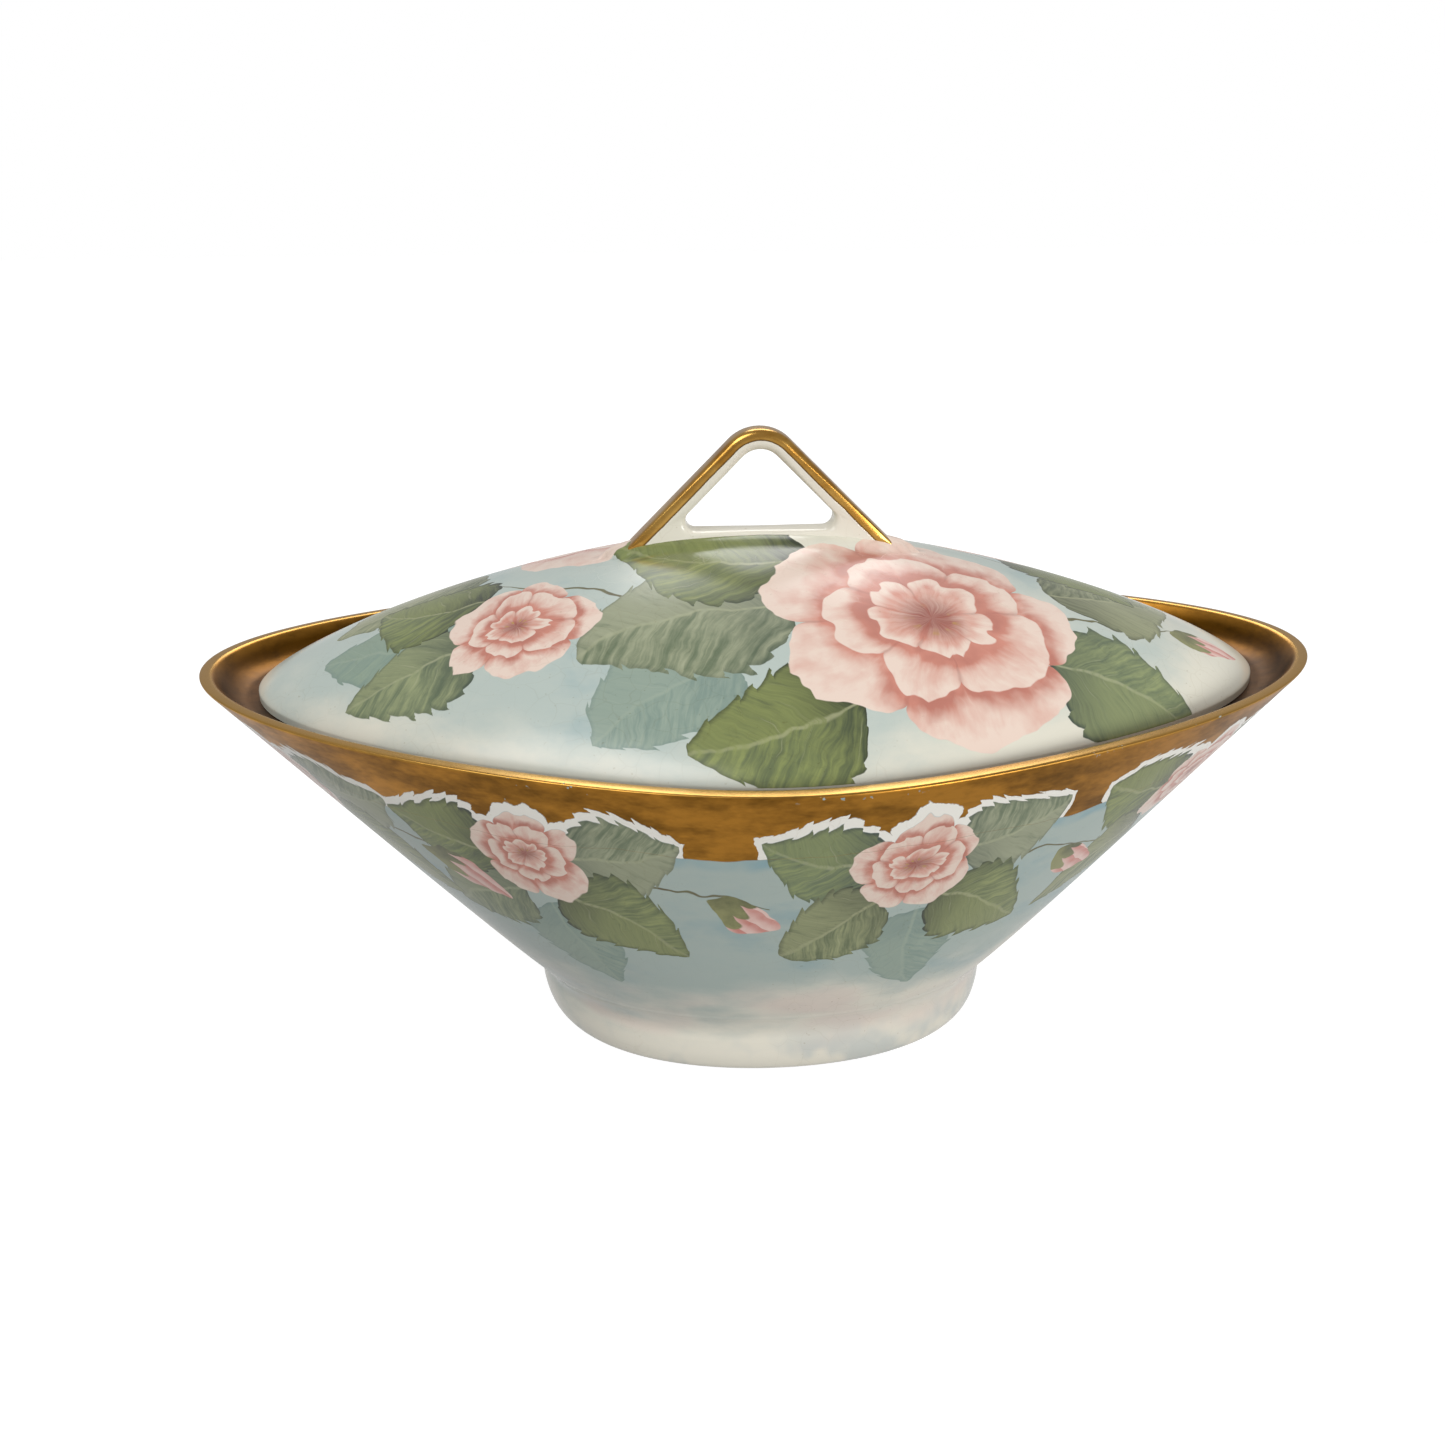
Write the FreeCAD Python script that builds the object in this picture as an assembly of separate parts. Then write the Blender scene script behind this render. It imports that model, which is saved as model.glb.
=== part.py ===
import FreeCAD, Part
import math
import os

# Covered porcelain dish: a boat-shaped bowl on an oval foot ring, and a domed
# lid that sits on a ledge inside the flared rim and is lifted by a loop handle.
# Millimetres, +Z up, +X along the dish. The foot stands on z = 0.

# --- driving dimensions -------------------------------------------------------
# Foot ring
FOOT_HEIGHT = 11.0
FOOT_BOTTOM_LENGTH = 99.0        # over the resting face
FOOT_BOTTOM_WIDTH = 91.0
FOOT_BEAD = 1.9                  # how far the bead swells past the resting face
FOOT_WALL = 5.2
FOOT_DRAFT = 0.8

# Bowl, outside
WAIST_LENGTH = 101.6             # where the bowl leaves the foot
WAIST_WIDTH = 93.4
RIM_LENGTH = 242.3               # over the two tips before the lip is rounded
RIM_WIDTH = 145.0
RIM_HEIGHT = 75.0                # rim at mid length
TIP_RISE = 2.7                   # how much higher the two tips stand
END_BOW = 0.93                   # fullness of the profile towards the tips, 1 = straight
SIDE_BOW = 0.80                  # fullness at mid length

# Bowl, inside
FLOOR_THICKNESS = 5.5
LIP_THICKNESS = 3.0
END_WALL = 5.4                   # wall measured level, towards the tips
SIDE_WALL = 4.2                  # wall measured level, at mid length
LEDGE_DROP = 3.0                 # lid ledge below the rim at mid length
LEDGE_END_WIDTH = 7.4            # ledge width towards the tips
LEDGE_SIDE_WIDTH = 4.2
LEDGE_DEPTH = 2.0                # upright wall of the well below the ledge
LIP_EDGE_RADIUS = 0.8            # how far both edges of the lip are taken off

# Lid
LID_GAP_END = 1.7                # between lid edge and the bowl at the tips
LID_GAP_SIDE = 1.2
LID_END_INSET = 12.5             # lid edge inside the outer rim at the tips
LID_SIDE_INSET = 7.2
LID_DOME_HEIGHT = 30.0
LID_EDGE_HEIGHT = 1.6            # upright edge below the dome
LID_WALL = 3.8
LID_CROWN_WALL = 5.6
LID_FLANGE_THICKNESS = 3.5        # flat rim under the lid that rests on the ledge
RIDGE_HALF_LENGTH = 33.0         # low ridge that carries the handle
RIDGE_HALF_WIDTH = 8.5
RIDGE_RISE = 1.1

# Locating ring under the lid
RING_CLEARANCE = 1.5
RING_FOOT_CLEARANCE = 0.5        # least gap to the well's wall at the ring's foot
RING_TAPER = 0.6                 # how much the ring draws in towards its foot
RING_WALL = 3.2
RING_HEIGHT = 5.0

# Handle
HANDLE_HALF_BASE = 29.9          # outer face where the legs enter the lid
HANDLE_HEIGHT = 22.8             # above the lid crown
HANDLE_THICKNESS = 4.2
HANDLE_DEPTH = 7.0
HANDLE_APEX_RADIUS = 9.2
HANDLE_CORNER_RADIUS = 2.4
HANDLE_BAR_RISE = 1.5            # underside of the opening above the crown
HANDLE_ROOT = 3.3                # depth let into the lid
HANDLE_BEVEL = 1.5

# --- derived levels -----------------------------------------------------------
TIP_HEIGHT = RIM_HEIGHT + TIP_RISE
LEDGE_Z = RIM_HEIGHT - LEDGE_DROP
FLOOR_Z = FOOT_HEIGHT + FLOOR_THICKNESS
ABOVE_RIM = TIP_HEIGHT + 5.0
LEDGE_HALF = (
    RIM_LENGTH / 2 - LID_END_INSET + LID_GAP_END,
    RIM_WIDTH / 2 - LID_SIDE_INSET + LID_GAP_SIDE,
)
LID_HALF = (RIM_LENGTH / 2 - LID_END_INSET, RIM_WIDTH / 2 - LID_SIDE_INSET)
WELL_HALF = (LEDGE_HALF[0] - LEDGE_END_WIDTH, LEDGE_HALF[1] - LEDGE_SIDE_WIDTH)
CROWN_Z = LEDGE_Z + LID_EDGE_HEIGHT + LID_DOME_HEIGHT

# Plan shapes: an ellipse whose length and width each carry a share of the third
# harmonic. Positive shares draw it towards a lozenge, negative ones square it.
RIM_SHAPE = (0.130, -0.035)
FOOT_SHAPE = (-0.022, -0.022)
CROWN_SHAPE = (-0.020, -0.035)
ELLIPSE = (0.0, 0.0)
DOME_POWERS = (1.5, 0.8)         # profile height = (1 - s^p)^q at s of the half size
OUTLINE_POINTS = 24

# Walls are drawn as straight bands from one level to the next, which keeps the
# surfaces light; there are enough of them that the creases stay below 4 degrees.
WALL_BANDS = 11
WELL_BANDS = (0.30, 0.55, 0.78)  # shares of the way from the floor to the ledge
RIM_CLEARANCE = 2.0              # the last band starts this far below the rim
DOME_BANDS = 12
HOLLOW_BANDS = 8                 # under the lid, where the dome is plainer
DOME_SWEEP = 84.0                # degrees from the edge up to the flat of the crown
HOLLOW_SWEEP = 78.0


def blend(start, end, t):
    return start + (end - start) * t


def blend_shapes(start, end, t):
    return blend(start[0], end[0], t), blend(start[1], end[1], t)


def outline(half_length, half_width, z, shape):
    """Closed smooth wire of one level of the dish."""
    long_share, wide_share = shape
    points = []
    for i in range(OUTLINE_POINTS):
        t = 2 * math.pi * i / OUTLINE_POINTS
        x = half_length * (math.cos(t) + long_share * math.cos(3 * t)) / (1 + long_share)
        y = half_width * (math.sin(t) - wide_share * math.sin(3 * t)) / (1 + wide_share)
        points.append(FreeCAD.Vector(x, y, z))
    curve = Part.BSplineCurve()
    curve.interpolate(points, PeriodicFlag=True)
    return Part.Wire([curve.toShape()])


def loft(levels):
    """Solid through levels given as (half_length, half_width, z, shape)."""
    return Part.makeLoft([outline(*level) for level in levels], True, True)


# --- bowl ---------------------------------------------------------------------
def bowl_half_length(z):
    t = (z - FOOT_HEIGHT) / (TIP_HEIGHT - FOOT_HEIGHT)
    return blend(WAIST_LENGTH / 2, RIM_LENGTH / 2, t**END_BOW)


def bowl_half_width(z):
    t = (z - FOOT_HEIGHT) / (RIM_HEIGHT - FOOT_HEIGHT)
    return blend(WAIST_WIDTH / 2, RIM_WIDTH / 2, t**SIDE_BOW)


def bowl_shape(z):
    t = min((z - FOOT_HEIGHT) / (RIM_HEIGHT - FOOT_HEIGHT), 1.0)
    return blend_shapes(FOOT_SHAPE, RIM_SHAPE, t)


def bowl_outer_level(z):
    return bowl_half_length(z), bowl_half_width(z), z, bowl_shape(z)


def bowl_inner_level(z, end_wall, side_wall):
    return bowl_half_length(z) - end_wall, bowl_half_width(z) - side_wall, z, bowl_shape(z)


def bowl_outside():
    below_rim = RIM_HEIGHT - RIM_CLEARANCE
    heights = [blend(FOOT_HEIGHT, below_rim, i / WALL_BANDS) for i in range(WALL_BANDS + 1)]
    return loft([bowl_outer_level(z) for z in heights + [ABOVE_RIM]])


def bowl_well():
    """Hollow below the ledge, with a rounded turn into the flat floor."""
    turn = [(0.0, 18.0, 15.0), (1.6, 12.0, 9.6), (5.0, 8.2, 6.4)]
    levels = [bowl_inner_level(FLOOR_Z + rise, end, side) for rise, end, side in turn]
    for fraction in WELL_BANDS:
        z = blend(FLOOR_Z, LEDGE_Z, fraction)
        levels.append(bowl_inner_level(z, END_WALL, SIDE_WALL))
    levels.append((*WELL_HALF, LEDGE_Z - LEDGE_DEPTH, bowl_shape(LEDGE_Z)))
    levels.append((*WELL_HALF, LEDGE_Z + 1.0, bowl_shape(LEDGE_Z)))
    return loft(levels)


def well_half(z):
    """Half size of the well in the band that runs up to the ledge."""
    low = blend(FLOOR_Z, LEDGE_Z, WELL_BANDS[-1])
    length, width, _, _ = bowl_inner_level(low, END_WALL, SIDE_WALL)
    t = min((z - low) / (LEDGE_Z - LEDGE_DEPTH - low), 1.0)
    return blend(length, WELL_HALF[0], t), blend(width, WELL_HALF[1], t)


def rim_flare():
    """Flared inside of the rim, from the ledge up past the lip."""
    lip_end = bowl_half_length(TIP_HEIGHT) - LIP_THICKNESS
    lip_side = bowl_half_width(RIM_HEIGHT) - LIP_THICKNESS
    reach = ((0.0, 0.0), (0.35, 0.42), (0.70, 0.78))
    heights = (LEDGE_Z, LEDGE_Z + 0.9, LEDGE_Z + 2.6)
    levels = []
    for (end, side), z in zip(reach, heights):
        levels.append((
            blend(LEDGE_HALF[0], lip_end, end),
            blend(LEDGE_HALF[1], lip_side, side),
            z,
            RIM_SHAPE,
        ))
    levels.append((lip_end + 5.0, lip_side + 2.0, ABOVE_RIM, RIM_SHAPE))
    return loft(levels)


def above_rim():
    """Everything above the gently dished rim line."""
    reach = RIM_LENGTH * 0.6
    end_z = RIM_HEIGHT + TIP_RISE * (reach / (RIM_LENGTH / 2)) ** 2
    top = ABOVE_RIM + 20.0
    left = FreeCAD.Vector(-reach, -RIM_WIDTH, end_z)
    right = FreeCAD.Vector(reach, -RIM_WIDTH, end_z)
    middle = FreeCAD.Vector(0, -RIM_WIDTH, RIM_HEIGHT)
    edges = [
        Part.Arc(left, middle, right).toShape(),
        Part.makeLine(right, FreeCAD.Vector(reach, -RIM_WIDTH, top)),
        Part.makeLine(FreeCAD.Vector(reach, -RIM_WIDTH, top), FreeCAD.Vector(-reach, -RIM_WIDTH, top)),
        Part.makeLine(FreeCAD.Vector(-reach, -RIM_WIDTH, top), left),
    ]
    return Part.Face(Part.Wire(edges)).extrude(FreeCAD.Vector(0, 2 * RIM_WIDTH, 0))


def rim_edges(shape):
    """The two closed edges of the lip."""
    return [
        edge for edge in shape.Edges
        if edge.BoundBox.ZMin > RIM_HEIGHT - 0.2 and edge.BoundBox.XLength > RIM_LENGTH * 0.4
    ]


def edge_length(edge):
    return edge.BoundBox.XLength


def make_bowl():
    """Bowl with its lip eased outside and rounded inside."""
    body = bowl_outside().cut(bowl_well()).cut(rim_flare()).cut(above_rim())
    body = body.makeChamfer(LIP_EDGE_RADIUS, [max(rim_edges(body), key=edge_length)])
    return body.makeFillet(LIP_EDGE_RADIUS, [min(rim_edges(body), key=edge_length)])


# --- foot ring ----------------------------------------------------------------
def make_foot_ring():
    half = (FOOT_BOTTOM_LENGTH / 2, FOOT_BOTTOM_WIDTH / 2)
    waist = WAIST_LENGTH / 2 - half[0]
    swell = ((0.0, 0.0), (0.10, 0.62), (0.36, 0.96), (0.70, 0.98), (1.0, waist / FOOT_BEAD))
    outside = loft([
        (half[0] + FOOT_BEAD * out, half[1] + FOOT_BEAD * out, FOOT_HEIGHT * up, FOOT_SHAPE)
        for up, out in swell
    ])
    hollow = loft([
        (half[0] - FOOT_WALL - draft, half[1] - FOOT_WALL - draft, z, FOOT_SHAPE)
        for z, draft in ((-1.0, 0.0), (FOOT_HEIGHT + 1.0, FOOT_DRAFT))
    ])
    return outside.cut(hollow)


# --- lid ----------------------------------------------------------------------
def dome(half_length, half_width, base_z, height, bands, sweep):
    """Dome over the lozenge outline, closed by a small flat crown."""
    levels = []
    for i in range(bands + 1):
        s = math.cos(math.radians(sweep * i / bands))
        rise = (1 - s ** DOME_POWERS[0]) ** DOME_POWERS[1]
        shape = blend_shapes(RIM_SHAPE, CROWN_SHAPE, rise)
        levels.append((half_length * s, half_width * s, base_z + height * rise, shape))
    return loft(levels)


def handle_ridge():
    """Low mound on the crown that the handle grows out of."""
    levels = []
    for degrees in (0, 30, 52, 70):
        s = math.cos(math.radians(degrees))
        z = CROWN_Z - HANDLE_ROOT + (HANDLE_ROOT + RIDGE_RISE) * math.sin(math.radians(degrees))
        levels.append((RIDGE_HALF_LENGTH * s, RIDGE_HALF_WIDTH * s, z, ELLIPSE))
    return loft(levels)


def lid_hollow():
    """Space under the dome, open below through the locating ring."""
    base_z = LEDGE_Z + LID_FLANGE_THICKNESS
    height = CROWN_Z - LID_CROWN_WALL - base_z
    half = (LID_HALF[0] - LID_WALL, LID_HALF[1] - LID_WALL)
    under_dome = dome(*half, base_z, height, HOLLOW_BANDS, HOLLOW_SWEEP)
    mouth = loft([
        (*ring_inner_half(), z, RIM_SHAPE)
        for z in (LEDGE_Z - 1.0, base_z + 1.0)
    ])
    return under_dome.fuse(mouth)


def make_lid(handle):
    edge_z = LEDGE_Z + LID_EDGE_HEIGHT
    edge = loft([(*LID_HALF, LEDGE_Z, RIM_SHAPE), (*LID_HALF, edge_z, RIM_SHAPE)])
    top = dome(*LID_HALF, edge_z, LID_DOME_HEIGHT, DOME_BANDS, DOME_SWEEP)
    return top.fuse(edge).fuse(handle_ridge()).cut(lid_hollow()).cut(handle)


def ring_outer_half():
    return WELL_HALF[0] - RING_CLEARANCE, WELL_HALF[1] - RING_CLEARANCE


def ring_inner_half():
    outer = ring_outer_half()
    return outer[0] - RING_WALL, outer[1] - RING_WALL


def make_locating_ring():
    outer = ring_outer_half()
    bottom = LEDGE_Z - RING_HEIGHT
    foot = [
        min(half - RING_TAPER, wall - RING_FOOT_CLEARANCE)
        for half, wall in zip(outer, well_half(bottom))
    ]
    outside = loft([
        (*foot, bottom, RIM_SHAPE),
        (*outer, LEDGE_Z, RIM_SHAPE),
    ])
    hollow = loft([
        (*ring_inner_half(), z, RIM_SHAPE)
        for z in (bottom - 1.0, LEDGE_Z + 1.0)
    ])
    return outside.cut(hollow)


# --- handle -------------------------------------------------------------------
def rounded_triangle(half_base, base_z, apex_z, apex_radius, corner_radius):
    """Upright isosceles triangle in the XZ plane with rounded corners, as a prism."""
    corners = [
        FreeCAD.Vector(-half_base, 0, base_z),
        FreeCAD.Vector(half_base, 0, base_z),
        FreeCAD.Vector(0, 0, apex_z),
    ]
    wire = Part.makePolygon(corners + corners[:1])
    prism = Part.Face(wire).extrude(FreeCAD.Vector(0, HANDLE_DEPTH, 0))
    prism.translate(FreeCAD.Vector(0, -HANDLE_DEPTH / 2, 0))
    upright = [e for e in prism.Edges if e.BoundBox.YLength > HANDLE_DEPTH / 2]
    apex = [e for e in upright if e.BoundBox.ZMin > base_z + 1]
    base = [e for e in upright if e.BoundBox.ZMin <= base_z + 1]
    prism = prism.makeFillet(apex_radius, apex)
    if corner_radius:
        base = [
            e for e in prism.Edges
            if e.BoundBox.YLength > HANDLE_DEPTH / 2 and e.BoundBox.ZMax < base_z + 0.1
        ]
        prism = prism.makeFillet(corner_radius, base)
    return prism


def make_handle():
    base_z = CROWN_Z - HANDLE_ROOT
    top_z = CROWN_Z + HANDLE_HEIGHT
    # Legs lean at the angle that puts the rounded apex at the wanted height.
    slope = 1.0
    for _ in range(40):
        sharp = HANDLE_APEX_RADIUS * (math.sqrt(1 + 1 / slope**2) / (1 / slope) - 1)
        slope = (top_z + sharp - base_z) / HANDLE_HALF_BASE
    apex_z = base_z + slope * HANDLE_HALF_BASE
    frame = rounded_triangle(HANDLE_HALF_BASE, base_z, apex_z, HANDLE_APEX_RADIUS, 0)
    side_drop = HANDLE_THICKNESS * math.sqrt(1 + slope**2)
    window_z = CROWN_Z + HANDLE_BAR_RISE
    window_apex = apex_z - side_drop
    window_half = (window_apex - window_z) / slope
    window_radius = HANDLE_APEX_RADIUS - HANDLE_THICKNESS
    window = rounded_triangle(window_half, window_z, window_apex, window_radius, HANDLE_CORNER_RADIUS)
    frame = frame.cut(window)
    rims = [
        e for e in frame.Edges
        if e.BoundBox.YLength < 0.01 and e.BoundBox.ZMax > base_z + 0.1
    ]
    return frame.makeChamfer(HANDLE_BEVEL, rims)


def main():
    os.makedirs("parts", exist_ok=True)
    handle = make_handle()
    nodes = {
        "bowl": make_bowl(),
        "foot_ring": make_foot_ring(),
        "lid": make_lid(handle),
        "lid_locating_ring": make_locating_ring(),
        "lid_handle": handle,
    }
    for name, shape in nodes.items():
        print(name, shape.isValid(), len(shape.Solids), round(shape.Volume))
        shape.exportStep("parts/" + name + ".step")


main()
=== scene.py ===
import logging
import math
import random
from dataclasses import dataclass, field
from enum import Enum

import bpy
import numpy as np
from mathutils import Matrix, Vector


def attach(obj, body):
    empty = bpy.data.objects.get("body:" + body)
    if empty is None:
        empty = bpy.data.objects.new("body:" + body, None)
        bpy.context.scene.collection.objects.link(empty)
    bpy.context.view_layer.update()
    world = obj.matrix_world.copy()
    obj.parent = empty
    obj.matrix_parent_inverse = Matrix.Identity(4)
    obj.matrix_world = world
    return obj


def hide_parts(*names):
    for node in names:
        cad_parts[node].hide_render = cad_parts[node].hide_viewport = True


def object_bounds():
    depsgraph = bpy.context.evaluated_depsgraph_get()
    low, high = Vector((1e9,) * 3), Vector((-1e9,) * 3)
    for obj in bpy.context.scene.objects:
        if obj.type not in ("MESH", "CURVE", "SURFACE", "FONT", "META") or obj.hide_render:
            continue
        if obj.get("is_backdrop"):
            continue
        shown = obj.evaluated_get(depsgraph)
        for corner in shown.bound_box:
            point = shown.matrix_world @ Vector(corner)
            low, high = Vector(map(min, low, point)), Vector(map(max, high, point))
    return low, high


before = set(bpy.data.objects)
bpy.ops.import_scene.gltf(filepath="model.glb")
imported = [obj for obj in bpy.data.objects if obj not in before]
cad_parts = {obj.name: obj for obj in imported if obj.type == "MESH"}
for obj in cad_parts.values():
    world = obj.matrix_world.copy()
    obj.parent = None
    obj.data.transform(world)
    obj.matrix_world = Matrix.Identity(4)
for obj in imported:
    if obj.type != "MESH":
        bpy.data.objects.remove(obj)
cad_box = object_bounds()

# Looks of a covered porcelain dish: a boat-shaped bowl on a foot ring, a domed lid
# with a loop handle, painted sprays of blossom and a gilded rim. Lengths below are
# in millimetres and become metres where a mesh is made.

MM = 0.001
COLUMNS = 400                    # steps round each outline
SHARP_ANGLE = 48.0               # edges that turn by more than this stay crisp, degrees

log = logging.getLogger("covered_dish")

Colour = tuple[float, float, float, float]
Half = tuple[float, float]       # half length and half width of an outline, mm
Span = tuple[float, float]       # where a change starts and where it is complete
Spread = float | np.ndarray      # one number, or one for each column


def srgb(red: int, green: int, blue: int) -> Colour:
    """Turns a colour as it is seen on a screen into the linear one that a shader takes.

    Args:
        red, green, blue: channels from 0 to 255.

    Returns:
        Linear red, green, blue and a full alpha.
    """
    def linear(channel: int) -> float:
        """Linear value of one channel."""
        share = channel / 255
        return share / 12.92 if share <= 0.04045 else ((share + 0.055) / 1.055) ** 2.4

    return linear(red), linear(green), linear(blue), 1.0


# --- forms ----------------------------------------------------------------------
@dataclass(frozen=True)
class Level:
    """One level outline of a piece.

    An outline is an ellipse whose length and width each carry a share of the third
    harmonic: positive shares draw it towards a lozenge, negative ones square it.
    """

    half_length: float
    half_width: float
    height: float
    long_share: float
    wide_share: float

    def numbers(self) -> tuple[float, float, float, float, float]:
        """The level's five numbers, in the order in which ring() takes them."""
        return self.half_length, self.half_width, self.height, self.long_share, self.wide_share


@dataclass(frozen=True)
class Shares:
    """Third-harmonic shares of a plan outline."""

    long_share: float
    wide_share: float

    def outline(self, half: tuple[Spread, Spread], height: Spread) -> np.ndarray:
        """Points of an outline that carries these shares."""
        return ring(*half, height, self.long_share, self.wide_share)

    def level(self, half: Half, height: float) -> Level:
        """A level that carries these shares."""
        return Level(*half, height, self.long_share, self.wide_share)

    def towards(self, other: "Shares", part: float) -> "Shares":
        """The outline that lies part of the way from this one to another."""
        return Shares(
            self.long_share + (other.long_share - self.long_share) * part,
            self.wide_share + (other.wide_share - self.wide_share) * part,
        )


RIM_SHARES = Shares(0.130, -0.035)
FOOT_SHARES = Shares(-0.022, -0.022)
CROWN_SHARES = Shares(-0.020, -0.035)
TURN = np.arange(COLUMNS) * (2 * math.pi / COLUMNS)


def ring(
    half_length: Spread, half_width: Spread, height: Spread, long_share: Spread, wide_share: Spread,
) -> np.ndarray:
    """Points of one outline, one for each column.

    Args:
        half_length, half_width, height, long_share, wide_share: numbers, or arrays
            with one entry for each column.

    Returns:
        Array of shape (COLUMNS, 3), in millimetres.
    """
    x = half_length * (np.cos(TURN) + long_share * np.cos(3 * TURN)) / (1 + long_share)
    y = half_width * (np.sin(TURN) - wide_share * np.sin(3 * TURN)) / (1 + wide_share)
    return np.stack([x, y, np.broadcast_to(height, x.shape)], axis=1)


def smooth_rows(levels: list[Level], steps: int) -> list[np.ndarray]:
    """Rows of points on a smooth wall that passes through every given level.

    Args:
        levels: the levels that the wall passes through, in order.
        steps: rows from one level to the next.

    Returns:
        The rows, the first and last level included.
    """
    knots = np.array([level.numbers() for level in levels])
    ends = np.vstack([2 * knots[0] - knots[1], knots, 2 * knots[-1] - knots[-2]])
    rows = []
    for i in range(len(knots) - 1):
        before, start, end, after = ends[i:i + 4]
        for step in range(steps):
            t = step / steps
            bend = (
                2 * start + (end - before) * t
                + (2 * before - 5 * start + 4 * end - after) * t**2
                + (3 * start - before - 3 * end + after) * t**3
            ) / 2
            rows.append(ring(*bend))
    rows.append(ring(*knots[-1]))
    return rows


def rounded(start: np.ndarray, corner: np.ndarray, end: np.ndarray, steps: int) -> list[np.ndarray]:
    """Rows that turn a corner softly.

    Args:
        start, corner, end: rows before, at and after the corner.
        steps: rows to make.

    Returns:
        The rows between start and end, both left out.
    """
    rows = []
    for step in range(1, steps + 1):
        t = step / (steps + 1)
        rows.append(start * (1 - t) ** 2 + corner * 2 * t * (1 - t) + end * t**2)
    return rows


def within(points: np.ndarray) -> np.ndarray:
    """Draws points in, where they need it, so that none lies outside the CAD model's box.

    Args:
        points: array of shape (count, 3), in millimetres.

    Returns:
        The points.
    """
    low, high = (np.array(corner) / MM for corner in cad_box)
    reach = np.minimum(-low, high)[:2]
    shrink = np.minimum(1.0, reach / np.abs(points[:, :2]).max(axis=0))
    drawn = points * np.append(shrink, 1.0)
    drawn[:, 2] = np.clip(drawn[:, 2], 0.0, high[2])
    return drawn


@dataclass
class Skin:
    """A closed surface made of rows of points that run round the piece.

    Attributes:
        name: object name.
        rows: the rows, each of shape (COLUMNS, 3).
        loops_back: the last row joins the first, as in a ring; otherwise both ends
            are closed with a point in the middle.
    """

    name: str
    rows: list[np.ndarray]
    loops_back: bool = False

    def mesh_object(self) -> bpy.types.Object:
        """Makes the mesh, smooth, with its own unwrapping, and links it to the scene."""
        rows = np.array(self.rows)
        count, columns = rows.shape[:2]
        points = rows.reshape(-1, 3)
        here = np.arange(count * columns).reshape(count, columns)
        nxt = np.roll(here, -1, axis=1)
        if self.loops_back:
            low, low_next = np.roll(here, -1, axis=0), np.roll(nxt, -1, axis=0)
            quads = np.stack([here, nxt, low_next, low], axis=2).reshape(-1, 4)
            faces = quads.tolist()
        else:
            quads = np.stack([here[:-1], nxt[:-1], nxt[1:], here[1:]], axis=2).reshape(-1, 4)
            poles = np.array([rows[0].mean(axis=0), rows[-1].mean(axis=0)])
            first, last = len(points), len(points) + 1
            points = np.vstack([points, poles])
            faces = quads.tolist()
            faces += [[first, int(nxt[0, c]), int(here[0, c])] for c in range(columns)]
            faces += [[last, int(here[-1, c]), int(nxt[-1, c])] for c in range(columns)]
        mesh = bpy.data.meshes.new(self.name)
        mesh.from_pydata((within(points) * MM).tolist(), [], faces)
        mesh.shade_smooth()
        mesh.set_sharp_from_angle(angle=math.radians(SHARP_ANGLE))
        self.unwrap(mesh, rows)
        piece = bpy.data.objects.new(self.name, mesh)
        bpy.context.scene.collection.objects.link(piece)
        return piece

    def unwrap(self, mesh: bpy.types.Mesh, rows: np.ndarray) -> None:
        """Lays the rows out side by side: across for the turn, up for the way along."""
        count, columns = rows.shape[:2]
        closing = rows[:1] if self.loops_back else rows[-1:]
        steps = np.linalg.norm(np.diff(np.vstack([rows, closing]), axis=0), axis=2).mean(axis=1)
        along = np.concatenate([[0], np.cumsum(steps)])
        along /= max(along[-1], 1e-6)
        across = np.arange(columns + 1) / columns
        bands = count if self.loops_back else count - 1
        layout = np.zeros((len(mesh.loops), 2))
        quads = np.zeros((bands, columns, 4, 2))
        quads[:, :, 0, 0] = quads[:, :, 3, 0] = across[:-1]
        quads[:, :, 1, 0] = quads[:, :, 2, 0] = across[1:]
        quads[:, :, 0, 1] = quads[:, :, 1, 1] = along[:bands, None]
        quads[:, :, 2, 1] = quads[:, :, 3, 1] = along[1:bands + 1, None]
        layout[:bands * columns * 4] = quads.reshape(-1, 2)
        layer = mesh.uv_layers.new(name="OFBake")
        layer.data.foreach_set("uv", layout.astype(np.float32).ravel())


# --- painting charts ------------------------------------------------------------
class Motif(Enum):
    """What the painter can put down."""

    STEM = "stem"
    SHADOW_LEAF = "shadow leaf"
    LEAF = "leaf"
    BUD = "bud"
    BLOSSOM = "blossom"


LAYERS = {
    Motif.STEM: ("stem", "stem_other"),
    Motif.SHADOW_LEAF: ("leaf_shadow",),
    Motif.LEAF: ("leaf_behind", "leaf_between", "leaf_nearer", "leaf_front"),
    Motif.BUD: ("bud",),
    Motif.BLOSSOM: ("blossom",),
}
FAR_AWAY = 50.0                  # chart reading where a layer holds no motif
BLOSSOM_ROOM = 1.05              # room that a blossom needs about its middle, in its own sizes
HALF_LENGTH_ROOM = 0.54          # and others to each side of their half-way point
STEM_ROOM, LEAF_ROOM = 0.16, 0.46    # and of their axis


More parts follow.
